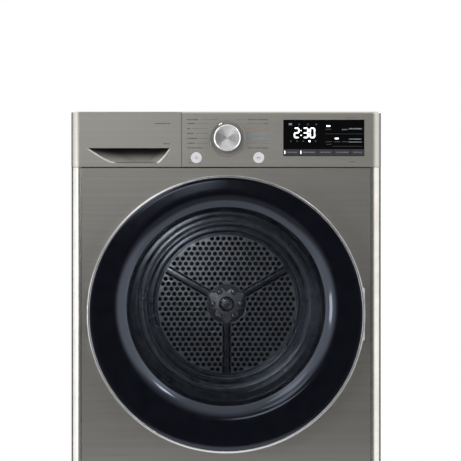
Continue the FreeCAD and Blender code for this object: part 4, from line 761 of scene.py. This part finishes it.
def drum_back():
    """Drum rear panel: three perforated plates, rib channels, a raised bead and dimples."""
    inner, outer, rib_half = 43 * MM, 151 * MM, 6.5 * MM
    pitch, hole = 12.7 * MM, 4.6 * MM
    centre = (0, DOOR_Z)
    y = PLATE_Y
    spots = hole_grid(inner - 2 * MM, outer + MM, rib_half - 0.5 * MM, pitch, hole)
    for middle in SECTOR_MIDDLES:
        outline = turned_about(sector_outline(inner, outer, rib_half), middle - 90, centre)
        holes = turned_about(spots, middle - 90, centre)
        plate_piece(f"drum_sector_{middle}", PLATE_STEEL, 50, outline, holes, hole,
                    y - 2.6 * MM, 2.2 * MM, 0.9 * MM)
    groove, bead, rim = 156 * MM, 166 * MM, DRUM_R - 0.5 * MM
    profile = [(outer - 2 * MM, y - 0.6 * MM, 0), (outer + 1.5 * MM, y - 0.6 * MM, 0.6 * MM),
               (groove - 1.5 * MM, y + 0.6 * MM, 2 * MM), (groove + 1.5 * MM, y + 0.6 * MM, 2 * MM),
               (bead - 5 * MM, y - 4.5 * MM, 3 * MM), (bead + 4 * MM, y - 4.5 * MM, 3 * MM),
               (bead + 8 * MM, y - 0.2 * MM, 3 * MM), (bead + 13 * MM, y - 0.2 * MM, 2 * MM),
               (bead + 17 * MM, y - 4.5 * MM, 3 * MM), (bead + 25 * MM, y - 4.5 * MM, 3 * MM),
               (bead + 30 * MM, y - 0.2 * MM, 3 * MM), (rim - 55 * MM, y - 0.2 * MM, 8 * MM),
               (rim - 30 * MM, y - 3.8 * MM, 8 * MM), (rim, y - 3.8 * MM, MM),
               (rim, y + 0.9 * MM, 0.3 * MM), (outer - 2 * MM, y + 0.9 * MM, 0)]
    piece = turned_piece("drum_rear_dish", profile, centre, SHADED_DISH_STEEL, "drum", "stainless",
                         steps=256)
    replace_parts(piece, "drum_rear_panel")
    for angle in RIB_ANGLES:
        half = 5.2 * MM
        outline = [(34 * MM, -half), (outer - MM, -half), (outer - MM, half), (34 * MM, half)]
        outline = turned_about(soft_profile(outline, 2 * MM), angle, centre)
        plate_piece(f"drum_rib_{angle}", SHADED_DISH_STEEL, 50, outline, [], 0, y - 0.2 * MM, MM,
                    0.3 * MM)
    core = [(11 * MM, y - 1.2 * MM), (inner + MM, y - 1.2 * MM), (inner + MM, y + 0.4 * MM),
            (11 * MM, y + 0.4 * MM)]
    turned_piece("drum_rear_core", core, centre, SHADED_DISH_STEEL, "drum", "stainless",
                 radius=0.3 * MM)
    dimple_ring(184 * MM, 84, 2.6 * MM, y - 0.2 * MM)


def dimple_ring(radius, count, size, y):
    """Small domes pressed into the rear panel in a ring."""
    def build(made):
        for i in range(count):
            angle = 2 * math.pi * i / count
            x, z = radius * math.cos(angle), DOOR_Z + radius * math.sin(angle)
            loops = []
            for level, width in ((0.3, 1.0), (-0.5, 0.8), (-1.0, 0.35)):
                loops.append([made.verts.new((px, y + level * MM, pz))
                              for px, pz in disc(x, z, size * width, 12)])
            for first, second in zip(loops, loops[1:]):
                for k in range(12):
                    n = (k + 1) % 12
                    made.faces.new((first[k], first[n], second[n], second[k]))
            made.faces.new(loops[-1])
            made.faces.new(loops[0][::-1])
    finish_piece("drum_dimples", tidy_mesh("drum_dimples", build), PLATE_STEEL, "drum",
                 60)


def hub_shade_ring(name, at, inner, outer, face):
    """Black ring standing a little proud of the hub plate: painted shade, a dark ring put where
    shadow falls round the boss and round each bolt.
    """
    front, back = face - 0.6 * MM, face + 0.3 * MM
    profile = [(inner, front), (outer, front), (outer, back), (inner, back)]
    turned_piece(name, profile, at, BLACK_RUBBER, "drum", "rubber_black", radius=0.2 * MM,
                 steps=48)


def drum_hub():
    """Three-armed hub plate with its boss, shaft and a centre bolt."""
    front, face = hub_low.y, hub_low.y + 4 * MM
    centre = (0, DOOR_Z)
    outline = []
    steps = 144
    for i in range(steps):
        angle = 360 * i / steps
        from_arm = abs((angle - 30 + 60) % 120 - 60)
        reach = 35.5 + 7 * max(0, 1 - (from_arm / 13) ** 2)
        reach -= 11 * max(0, (from_arm - 42) / 18) ** 1.5
        outline.append((reach * MM * math.cos(math.radians(angle)),
                        DOOR_Z + reach * MM * math.sin(math.radians(angle))))
    plate = plate_piece("hub_plate", PLATE_STEEL, 40, outline, [], 0, face + 1.9 * MM,
                        3.6 * MM, 0.9 * MM)
    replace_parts(plate, "drum_hub")
    boss = [(0, front - 1.5 * MM, 0), (4.6 * MM, front - 1.5 * MM, MM),
            (5.2 * MM, front + MM, 0.5 * MM), (9.5 * MM, front + MM, 1.5 * MM),
            (11.4 * MM, face - 0.6 * MM, MM),
            (16 * MM, face - 0.6 * MM, MM), (17 * MM, face + 0.6 * MM, 0.3 * MM),
            (12 * MM, face + 0.6 * MM, 0), (12 * MM, hub_high.y, MM), (0, hub_high.y, 0)]
    turned_piece("hub_boss", boss, centre, STEEL, "drum", "stainless", steps=96)
    # black rings round the boss and the six bolts: painted shade in the gaps
    hub_shade_ring("hub_boss_shade_ring", centre, 11.6 * MM, 16.2 * MM, face)
    for i in range(6):
        angle = math.radians(60 * i)
        at = (30.5 * MM * math.cos(angle), DOOR_Z + 30.5 * MM * math.sin(angle))
        hub_shade_ring(f"hub_bolt_shade_ring_{i}", at, 4 * MM, 6.2 * MM, face)
        washer = [(0, face - 3.2 * MM, 0), (2.2 * MM, face - 3.2 * MM, 0.6 * MM),
                  (2.9 * MM, face - 1.4 * MM, 0.4 * MM), (4.6 * MM, face - 1.1 * MM, 0.3 * MM),
                  (4.6 * MM, face - 0.1 * MM, 0.2 * MM), (0, face - 0.1 * MM, 0)]
        bolt = turned_piece(f"hub_bolt_{i}", washer, at, STEEL, "drum", "steel", steps=24)
        if i == 0:
            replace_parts(bolt, "hub_bolts")


# ---- control band -------------------------------------------------------------------------

def knob():
    """Programme knob: dark skirt, bright chamfered rim and a spun face."""
    centre = (KNOB_X, KNOB_Z)
    face, back = knob_low.y, BAND_FACE - 0.6 * MM
    side = [(0, back, 0), (KNOB_R - 0.6 * MM, back, 0.4 * MM),
            (KNOB_R - 0.6 * MM, face + 5 * MM, 0), (0, face + 5 * MM, 0)]
    body, slot, steps = "knob", "brushed_aluminium", 128
    skirt = turned_piece("knob_skirt", side, centre,
                         turned_steel("knob_side", "#4e4e50", "#6b6b6d", 0.3), body, slot,
                         steps=steps)
    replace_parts(skirt, "program_knob")
    rim = [(KNOB_R - 2.6 * MM, face + 0.5 * MM, 0.2 * MM), (KNOB_R - 1.9 * MM, face, 0.3 * MM),
           (KNOB_R - 0.4 * MM, face + 0.5 * MM, 0.4 * MM), (KNOB_R, face + 2 * MM, 0.5 * MM),
           (KNOB_R, face + 5.2 * MM, 0.3 * MM), (KNOB_R - 2.6 * MM, face + 5.2 * MM, 0)]
    turned_piece("knob_rim", rim, centre, CHROME, body, slot, steps=steps)
    cap = [(0, face + 1.3 * MM, 0), (KNOB_R - 3 * MM, face + 0.6 * MM, 0.1 * MM),
           (KNOB_R - 2.4 * MM, face + 0.6 * MM, 0), (KNOB_R - 2.4 * MM, face + 4 * MM, 0),
           (0, face + 4 * MM, 0)]
    turned_piece("knob_face", cap, centre, SPUN, body, slot, steps=steps)


def knob_dish():
    """Shallow dish in the panel round the knob, with two small lit marks."""
    centre = (KNOB_X, KNOB_Z)
    outer = 35.2 * MM
    dish = [(27 * MM, BAND_FACE + 0.75 * MM, 0), (outer - 0.2 * MM, BAND_FACE + 0.75 * MM, 0),
            (outer - 0.9 * MM, BAND_FACE - 0.05 * MM, 0.3 * MM),
            (outer - 2 * MM, BAND_FACE - 0.05 * MM, 0.4 * MM), (27 * MM, BAND_FACE + 0.5 * MM, 0)]
    turned_piece("knob_dish", dish, centre, BAND, "cabinet", "panel_plastic", steps=128)
    marks = []
    for angle in (112, 119):
        at = (KNOB_X + 31 * MM * math.cos(math.radians(angle)),
              KNOB_Z + 31 * MM * math.sin(math.radians(angle)))
        marks.append(disc(at[0], at[1], 1.1 * MM))
    print_on("knob_marks", marks, BAND_FACE + 0.2 * MM, 0.35 * MM,
             lit_segment("white_mark", "#f4f4f4", 1.2), "cabinet")


def push_key(name, node_name, body, signs):
    """Round silver key with a bright bezel and a small raised sign."""
    low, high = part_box(node_name)
    centre = ((low.x + high.x) / 2, (low.z + high.z) / 2)
    face = low.y
    radius = 10.9 * MM
    cap = [(0, face + 0.25 * MM, 0), (radius - 2.4 * MM, face + 0.25 * MM, 0.3 * MM),
           (radius - 1.9 * MM, face, 0.3 * MM), (radius - 0.6 * MM, face, 0.5 * MM),
           (radius, face + 1.2 * MM, 0.5 * MM), (radius, high.y - 9 * MM, 0),
           (0, high.y - 9 * MM, 0)]
    piece = turned_piece(name, cap, centre, SILVER_PLASTIC, body, "key_plastic", steps=96)
    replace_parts(piece, node_name)
    shapes = [[(centre[0] + x * MM, centre[1] + z * MM) for x, z in shape] for shape in signs]
    print_on(name + "_sign", shapes, face + 0.25 * MM, 0.12 * MM, INK, body)


def power_sign():
    """A short upright bar in an open circle."""
    strokes = [bar(-0.3, 0.3, 0.6, 3.0)]
    for k in range(14):
        a, b = 130 + k * 20, 130 + (k + 1) * 20
        strokes.append(arc_points((0, 0), 2.5, a, b, 1) + arc_points((0, 0), 1.9, b, a, 1))
    return strokes


def start_signs():
    """A triangle and two upright bars."""
    return [[(-3.0, -1.8), (-0.2, 0), (-3.0, 1.8)], bar(0.8, 1.5, -1.8, 1.8),
            bar(2.2, 2.9, -1.8, 1.8)]


def dashes(rng, x0, x1, z, height):
    """Short dashes along a line, which stand for a printed word."""
    marks = []
    x = x0
    while x < x1 - 0.6:
        width = rng.choice((0.9, 1.2, 1.5, 1.9))
        marks.append(bar(x * MM, min(x + width, x1) * MM, (z - height / 2) * MM,
                         (z + height / 2) * MM))
        x += width + rng.choice((0.45, 0.55, 1.1))
    return marks


def programme_labels():
    """Two columns of dashes in place of programme names, and thin lines to the knob."""
    rng = random.Random(7)
    knob_x, knob_z, thin = 2.3, 798.3, 0.22
    heights = [834.6, 827, 817.3, 807.8, knob_z, 788.8, 780]
    left_ends = [-52, -58, -69, -62, -56, -60, -45]
    right_starts = [42, 74, 42, 51, 47, 47, 42]
    colours = [INK, INK, BROWN_INK, BLUE_INK, BLUE_INK, BROWN_INK, INK]
    groups = {}
    lines = []
    for z, end, begin, ink in zip(heights, left_ends, right_starts, colours):
        groups.setdefault(INK, []).extend(dashes(rng, -75, end, z, 2.0))
        groups.setdefault(ink, []).extend(dashes(rng, begin, 81, z, 2.0))
        reach = 38 if abs(z - knob_z) < 30 else 18
        lines.append(bar_mm(end + 3, knob_x - reach, z - thin, z + thin))
        lines.append(bar((knob_x + reach) * MM, max(begin - 3, reach + 4) * MM, (z - thin) * MM,
                         (z + thin) * MM))
    for ink, marks in groups.items():
        print_on(f"labels_{ink.name}", marks, BAND_FACE, 0.06 * MM, ink, "cabinet")
    print_on("label_lines", lines, BAND_FACE, 0.05 * MM, INK, "cabinet")
    small = dashes(rng, -74, -62, 751, 1.4) + dashes(rng, -72, -64, 757, 1.2)
    small += dashes(rng, 236, 249, 753, 1.4) + dashes(rng, 230, 254, 838, 1.0)
    print_on("label_notes", small, BAND_FACE, 0.06 * MM, INK, "cabinet")


def drawer_labels():
    """Generic marks on the drawer front."""
    rng = random.Random(11)
    marks = dashes(rng, -137, -108, 827, 2.2) + dashes(rng, -121, -108, 788, 2.0)
    print_on("drawer_marks", marks, BAND_FACE, 0.06 * MM, INK, "drawer")


# ---- display ------------------------------------------------------------------------------

SEGMENTS = {"0": "abcdef", "2": "abged", "3": "abgcd"}


def digit(sign, x, z, width, height, stroke):
    """Seven-segment digit as separate six-sided strokes, lower left corner at x, z."""
    def flat(cx, cz, length):
        tip = stroke / 2
        return [(cx - length / 2, cz), (cx - length / 2 + tip, cz + tip),
                (cx + length / 2 - tip, cz + tip), (cx + length / 2, cz),
                (cx + length / 2 - tip, cz - tip), (cx - length / 2 + tip, cz - tip)]

    def upright(cx, cz, length):
        return [(cx + dz - cz, cz + dx - cx) for dx, dz in flat(cx, cz, length)]
    gap = 0.3
    half = height / 2
    across = width - stroke - gap
    tall = half - stroke / 2 - gap
    right, left = x + width - stroke / 2, x + stroke / 2
    places = {"a": flat(x + width / 2, z + height - stroke / 2, across),
              "g": flat(x + width / 2, z + half, across),
              "d": flat(x + width / 2, z + stroke / 2, across),
              "b": upright(right, z + half * 1.5 - stroke / 4, tall),
              "f": upright(left, z + half * 1.5 - stroke / 4, tall),
              "c": upright(right, z + half * 0.5 + stroke / 4, tall),
              "e": upright(left, z + half * 0.5 + stroke / 4, tall)}
    return [[(px * MM, pz * MM) for px, pz in places[name]] for name in SEGMENTS[sign]]


def display():
    """Lit digits, dim icons and the touch strip, just proud of the display glass."""
    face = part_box("display_window")[0].y
    bright = lit_segment("lit_white", "#f2f6fa", 2.4)
    dim = lit_segment("lit_grey", "#6e7276", 0.25)
    faint = lit_segment("lit_faint", "#34363a", 0.08)
    body, slot = "cabinet", "display_glass"
    digits = digit("2", 131, 799, 10.4, 20, 2.1) + digit("3", 148.4, 799, 10.4, 20, 2.1)
    digits += digit("0", 161.4, 799, 10.4, 20, 2.1)
    digits += [disc(144.9 * MM, z * MM, 1.0 * MM) for z in (804.5, 813.5)]
    digits += [disc(161 * MM, 793 * MM, 1.9 * MM), bar_mm(194, 201, 821, 823.4),
               bar_mm(210, 217, 797, 799.2)]
    print_on("display_digits", digits, face, 0.12 * MM, bright, body)
    rng = random.Random(3)
    icons = [bar_mm(121, 127, 824, 827.6)]
    icons += dashes(rng, 237, 262, 817, 2.6) + dashes(rng, 237, 261, 797, 2.0)
    icons += dashes(rng, 237, 262, 791.5, 1.8) + dashes(rng, 224, 234, 815.5, 1.6)
    print_on("display_icons", icons, face, 0.1 * MM, dim, body)
    small = [disc(x * MM, 825.5 * MM, 1.8 * MM, 8) for x in (141, 158, 174)]
    small += [disc(x * MM, 793 * MM, 1.5 * MM, 8) for x in (125, 137, 149, 173)]
    small += dashes(rng, 192, 203, 816, 1.8) + dashes(rng, 192, 204, 792, 1.6)
    small += dashes(rng, 194, 203, 787, 1.4) + dashes(rng, 208, 220, 792, 1.8)
    small += dashes(rng, 224, 235, 792, 1.8)
    small += [bar_mm(191, 264, 806.8, 807.3),
              bar_mm(205, 264, 782.8, 783.4)]
    print_on("display_faint", small, face, 0.09 * MM, faint, body)
    keys = [110.9, 142, 176, 207, 240, 266.6]
    pads = [bar_mm(a + 0.4, b - 0.4, 765, 777.4)
            for a, b in zip(keys, keys[1:])]
    print_on("display_keys", pads, face, 0.04 * MM,
             moulded("touch_strip", "#2c2d30", "#26272a", 0.35, 0.8), body)
    names = []
    for a, b in zip(keys, keys[1:]):
        names += dashes(rng, a + 6, b - 4, 771.6, 1.5)
    print_on("display_key_names", names, face, 0.08 * MM, dim, body)
    ticks = [bar_mm(x, x + 1.3, 768.6, 774.4) for x in (112.6, 143.6)]
    print_on("display_ticks", ticks, face, 0.1 * MM, bright, body)


# ---- drawer -------------------------------------------------------------------------------

def drawer_panel():
    """Drawer front: rounded outer corner and a scooped grip under a straight top edge."""
    left, right = drawer_low.x, drawer_high.x
    low, high = drawer_low.z, drawer_high.z
    face, back = drawer_low.y, drawer_high.y
    corner, crown = 18 * MM, 3.5 * MM
    top, sill = 779.6 * MM, 750.8 * MM
    depth = 18 * MM

    def pocket(x, z):
        if not sill < z < top:
            return 0.0
        t = (z - sill) / (top - sill)
        start_x = -222 * MM + (-268.8 + 222) * MM * t ** 0.8
        end_x = -131 * MM + (-108.4 + 131) * MM * t ** 0.8
        side = min(1, max(0, (x - start_x) / (58 * MM)), max(0, (end_x - x) / (26 * MM)))
        lean = 0.22 + 0.78 * t ** 0.85
        return depth * lean * side ** 0.8 * min(1, (z - sill) / (1.6 * MM))

    def inset(x, z):
        """How far the face lies back at the rounded outer corner and the top edge."""
        from_side, from_top = x - left, high - z
        back_by = 0.0
        if from_side < corner:
            back_by = corner - math.sqrt(corner ** 2 - (corner - from_side) ** 2)
        if from_top < 1.2 * MM:
            back_by += 1.2 * MM - math.sqrt(max(0, (1.2 * MM) ** 2 - (1.2 * MM - from_top) ** 2))
        return back_by

    columns = [left + corner * (1 - math.cos(math.radians(a))) for a in range(0, 90, 5)]
    span = right - left - corner
    count = 130
    columns += [left + corner + span * i / count for i in range(count + 1)]
    levels = [low + (sill - low) * i / 4 for i in range(5)]
    levels += [sill + 0.8 * MM, sill + 1.6 * MM, sill + 2.4 * MM]
    levels += [sill + 2.4 * MM + (top - sill - 2.41 * MM) * i / 24 for i in range(1, 25)]
    levels += [top + (high - MM * 1.3 - top) * i / 8 for i in range(9)]
    levels += [high - 1.2 * MM * (1 - math.sin(math.radians(a))) for a in range(0, 91, 15)]

    def build(made):
        grid = []
        for x in columns:
            line = []
            for z in levels:
                y = min(face + pocket(x, z) + inset(x, z), back - 2 * MM)
                inward = max(0, crown - (x - left))
                up = min(z, high - crown + math.sqrt(crown ** 2 - inward ** 2))
                line.append(made.verts.new((x, y, up)))
            grid.append(line)
        for a, b in zip(grid, grid[1:]):
            for k in range(len(levels) - 1):
                made.faces.new((a[k], b[k], b[k + 1], a[k + 1]))
        border = [line[0] for line in grid] + grid[-1][1:] + [line[-1] for line in grid[-2::-1]]
        border += grid[0][-2:0:-1]
        rear = [made.verts.new((v.co.x, back, v.co.z)) for v in border]
        total = len(border)
        for k in range(total):
            n = (k + 1) % total
            made.faces.new((border[n], border[k], rear[k], rear[n]))
        made.faces.new(rear)
    piece = finish_piece("drawer_panel", tidy_mesh("drawer_panel", build), BAND, "drawer",
                         28)
    # the faces inside the grip take the painted-shade moulding, darkest under the roof
    piece.data.materials.append(grip_painted_shade(sill, top - 4 * MM))
    for face in piece.data.polygons:
        depth_here = face.center.y - drawer_low.y
        inside = sill < face.center.z < top + 0.1 * MM and face.center.x > left + corner + 2 * MM
        if inside and 1.5 * MM < depth_here < 19.5 * MM:
            face.material_index = 1
    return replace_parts(piece, "drawer_front")


# ---- CAD pieces that stay -----------------------------------------------------------------

OWN_FINISH = {
    # painted shade: the rear duct is coloured near-black so the space seen through the drum's holes
    # reads as shadow
    "rear_duct": cast_paint("duct_painted_shade", "#101113", "#191a1c"),
}

BEVELS = {
    "control_fascia": 0.4, "top_plate": 0.4, "front_panel": 0.3, "base_tray": 1.0,
    "drum_lifters": 6.0, "water_tank": 1.5, "tank_tray": 0.6, "duct_cover": 0.8,
    "door_frame": 0.5, "hinge_bracket": 0.5, "door_hinge_leaf": 0.5, "door_latch": 0.8,
    "condensate_pump": 1.2, "compressor": 1.5, "fan_motor": 0.8, "drum_motor": 0.8,
    "lint_filter": 0.8, "idler_arm": 0.6, "power_inlet": 0.8, "support_roller_left": 1.0,
    "support_roller_right": 1.0, "idler_pulley": 0.6, "display_window": 0.15,
}


def dress_frame():
    """Give every CAD piece its material, and soften the edges that catch the light."""
    slots = {part["node"]: part["material_slot"] for part in frame["record"]["subparts"]}
    for name, piece in nodes.items():
        piece.data.materials.clear()
        piece.data.materials.append(OWN_FINISH.get(name, MATERIALS[slots[name]]))
        piece.data.shade_smooth()
        piece.data.set_sharp_from_angle(angle=math.radians(30))
        if name in BEVELS:
            bevel = piece.modifiers.new("edge", "BEVEL")
            bevel.width = BEVELS[name] * MM
            bevel.segments = 3
            bevel.limit_method = "ANGLE"
            bevel.angle_limit = math.radians(50)
            bevel.use_clamp_overlap = True


# ---- studio -------------------------------------------------------------------------------

def soft_box(name, place, target, size, power):
    data = bpy.data.lights.new(name, "AREA")
    data.shape = "RECTANGLE"
    data.size, data.size_y = size
    data.energy = power
    lamp = bpy.data.objects.new(name, data)
    lamp.location = place
    lamp.rotation_euler = (Vector(target) - Vector(place)).to_track_quat("-Z", "Y").to_euler()
    bpy.context.scene.collection.objects.link(lamp)


def rising(tree, value, low, high, top):
    """A smooth rise from 0 to top between two values."""
    return add(tree, "MapRange", {"Value": value, "From Min": low, "From Max": high,
                                  "To Min": 0.0, "To Max": top},
               interpolation_type="SMOOTHSTEP").outputs["Result"]


def combine(tree, operation, first, second):
    return add(tree, "Math", {0: first, 1: second}, operation=operation).outputs[0]


def studio_room():
    """White room: dark just ahead of the machine, tall bright walls at both sides, soft
    light overhead, and dim behind."""
    world = bpy.data.worlds.new("studio")
    bpy.context.scene.world = world
    world.use_nodes = True
    tree = world.node_tree
    tree.nodes.clear()
    heading = add(tree, "TexCoord").outputs["Generated"]
    parts = add(tree, "SeparateXYZ", {"Vector": heading}).outputs
    side = add(tree, "Math", {0: parts["X"]}, operation="ABSOLUTE").outputs[0]
    off_axis = combine(tree, "ADD", parts["Y"], 1.0)
    not_behind = combine(tree, "SUBTRACT", 1.0, rising(tree, parts["Y"], 0.1, 0.45, 1.0))
    ahead = rising(tree, off_axis, 0.02, 0.12, 0.33)
    ahead = combine(tree, "MULTIPLY", ahead, not_behind)
    walls = rising(tree, side, 0.34, 0.66, 1.5)
    walls = combine(tree, "MULTIPLY", walls, not_behind)
    overhead = rising(tree, parts["Z"], 0.35, 0.8, 0.9)
    total = combine(tree, "ADD", combine(tree, "ADD", ahead, walls), overhead)
    total = combine(tree, "ADD", total, 0.04)
    around = add(tree, "Background", {"Color": linear("#ffffff"), "Strength": total})
    white = add(tree, "Background", {"Color": linear("#ffffff"), "Strength": 1.0})
    seen = add(tree, "LightPath").outputs["Is Camera Ray"]
    both = add(tree, "MixShader", {0: seen, 1: around.outputs[0], 2: white.outputs[0]})
    add(tree, "OutputWorld", {"Surface": both.outputs[0]})


def pale_floor():
    """White floor that melts into the white room a metre out."""
    mesh = bpy.data.meshes.new("floor")
    half = 4
    mesh.from_pydata([(-half, -half, 0), (half, -half, 0), (half, half, 0), (-half, half, 0)], [],
                     [(0, 1, 2, 3)])
    piece = bpy.data.objects.new("floor", mesh)
    bpy.context.scene.collection.objects.link(piece)
    made = Finish("pale_floor", "#f4f4f4", 0.6)
    out = made.node("VectorMath", {0: made.place}, operation="LENGTH").outputs["Value"]
    fade = rising(made.tree, out, 0.8, 1.25, 1.0)
    clear = made.node("BsdfTransparent").outputs[0]
    both = made.node("MixShader", {0: fade, 1: made.shader.outputs[0], 2: clear})
    made.tree.links.new(both.outputs[0], made.tree.nodes["Material Output"].inputs["Surface"])
    mesh.materials.append(made.material)


def studio():
    """Room, floor and lamps."""
    bpy.context.scene.view_settings.view_transform = "Standard"
    studio_room()
    pale_floor()
    soft_box("into_drum", (-0.25, -3.6, 0.97), (0, PLATE_Y, DOOR_Z), (0.4, 0.4), 1.4)
    soft_box("key", (-0.62, -2.3, 1.28), (-0.1, FRONT, 0.6), (0.5, 0.5), 1.4)
    soft_box("high_left", (-1.4, -1.9, 2.2), (0, FRONT, 0.6), (0.9, 0.9), 4.5)
    soft_box("low_left", (-1.9, -2.0, 0.4), (0, FRONT, 0.4), (0.7, 0.5), 9)
    soft_box("inside_drum", (-0.13, PLATE_Y - 0.32, DOOR_Z + 0.15), (0.02, PLATE_Y, DOOR_Z),
             (0.05, 0.05), 0.23)
    soft_box("high_right", (1.25, -1.75, 2.05), (KNOB_X, BAND_FACE, KNOB_Z), (0.4, 0.4), 6)
    soft_box("back_left", (-1.7, 2.4, 2.4), (0, 0.3, 0.45), (1.2, 1.2), 60)
    soft_box("back_right", (1.7, 2.2, 2.2), (0, 0.3, 0.45), (1.0, 1.0), 35)


dress_frame()
door_ring()
door_cover()
door_window()
drum_back()
drum_hub()
knob()
knob_dish()
push_key("power_key_cap", "power_button", "power_key", power_sign())
push_key("start_key_cap", "start_button", "start_key", start_signs())
programme_labels()
drawer_panel()
drawer_labels()
display()
studio()
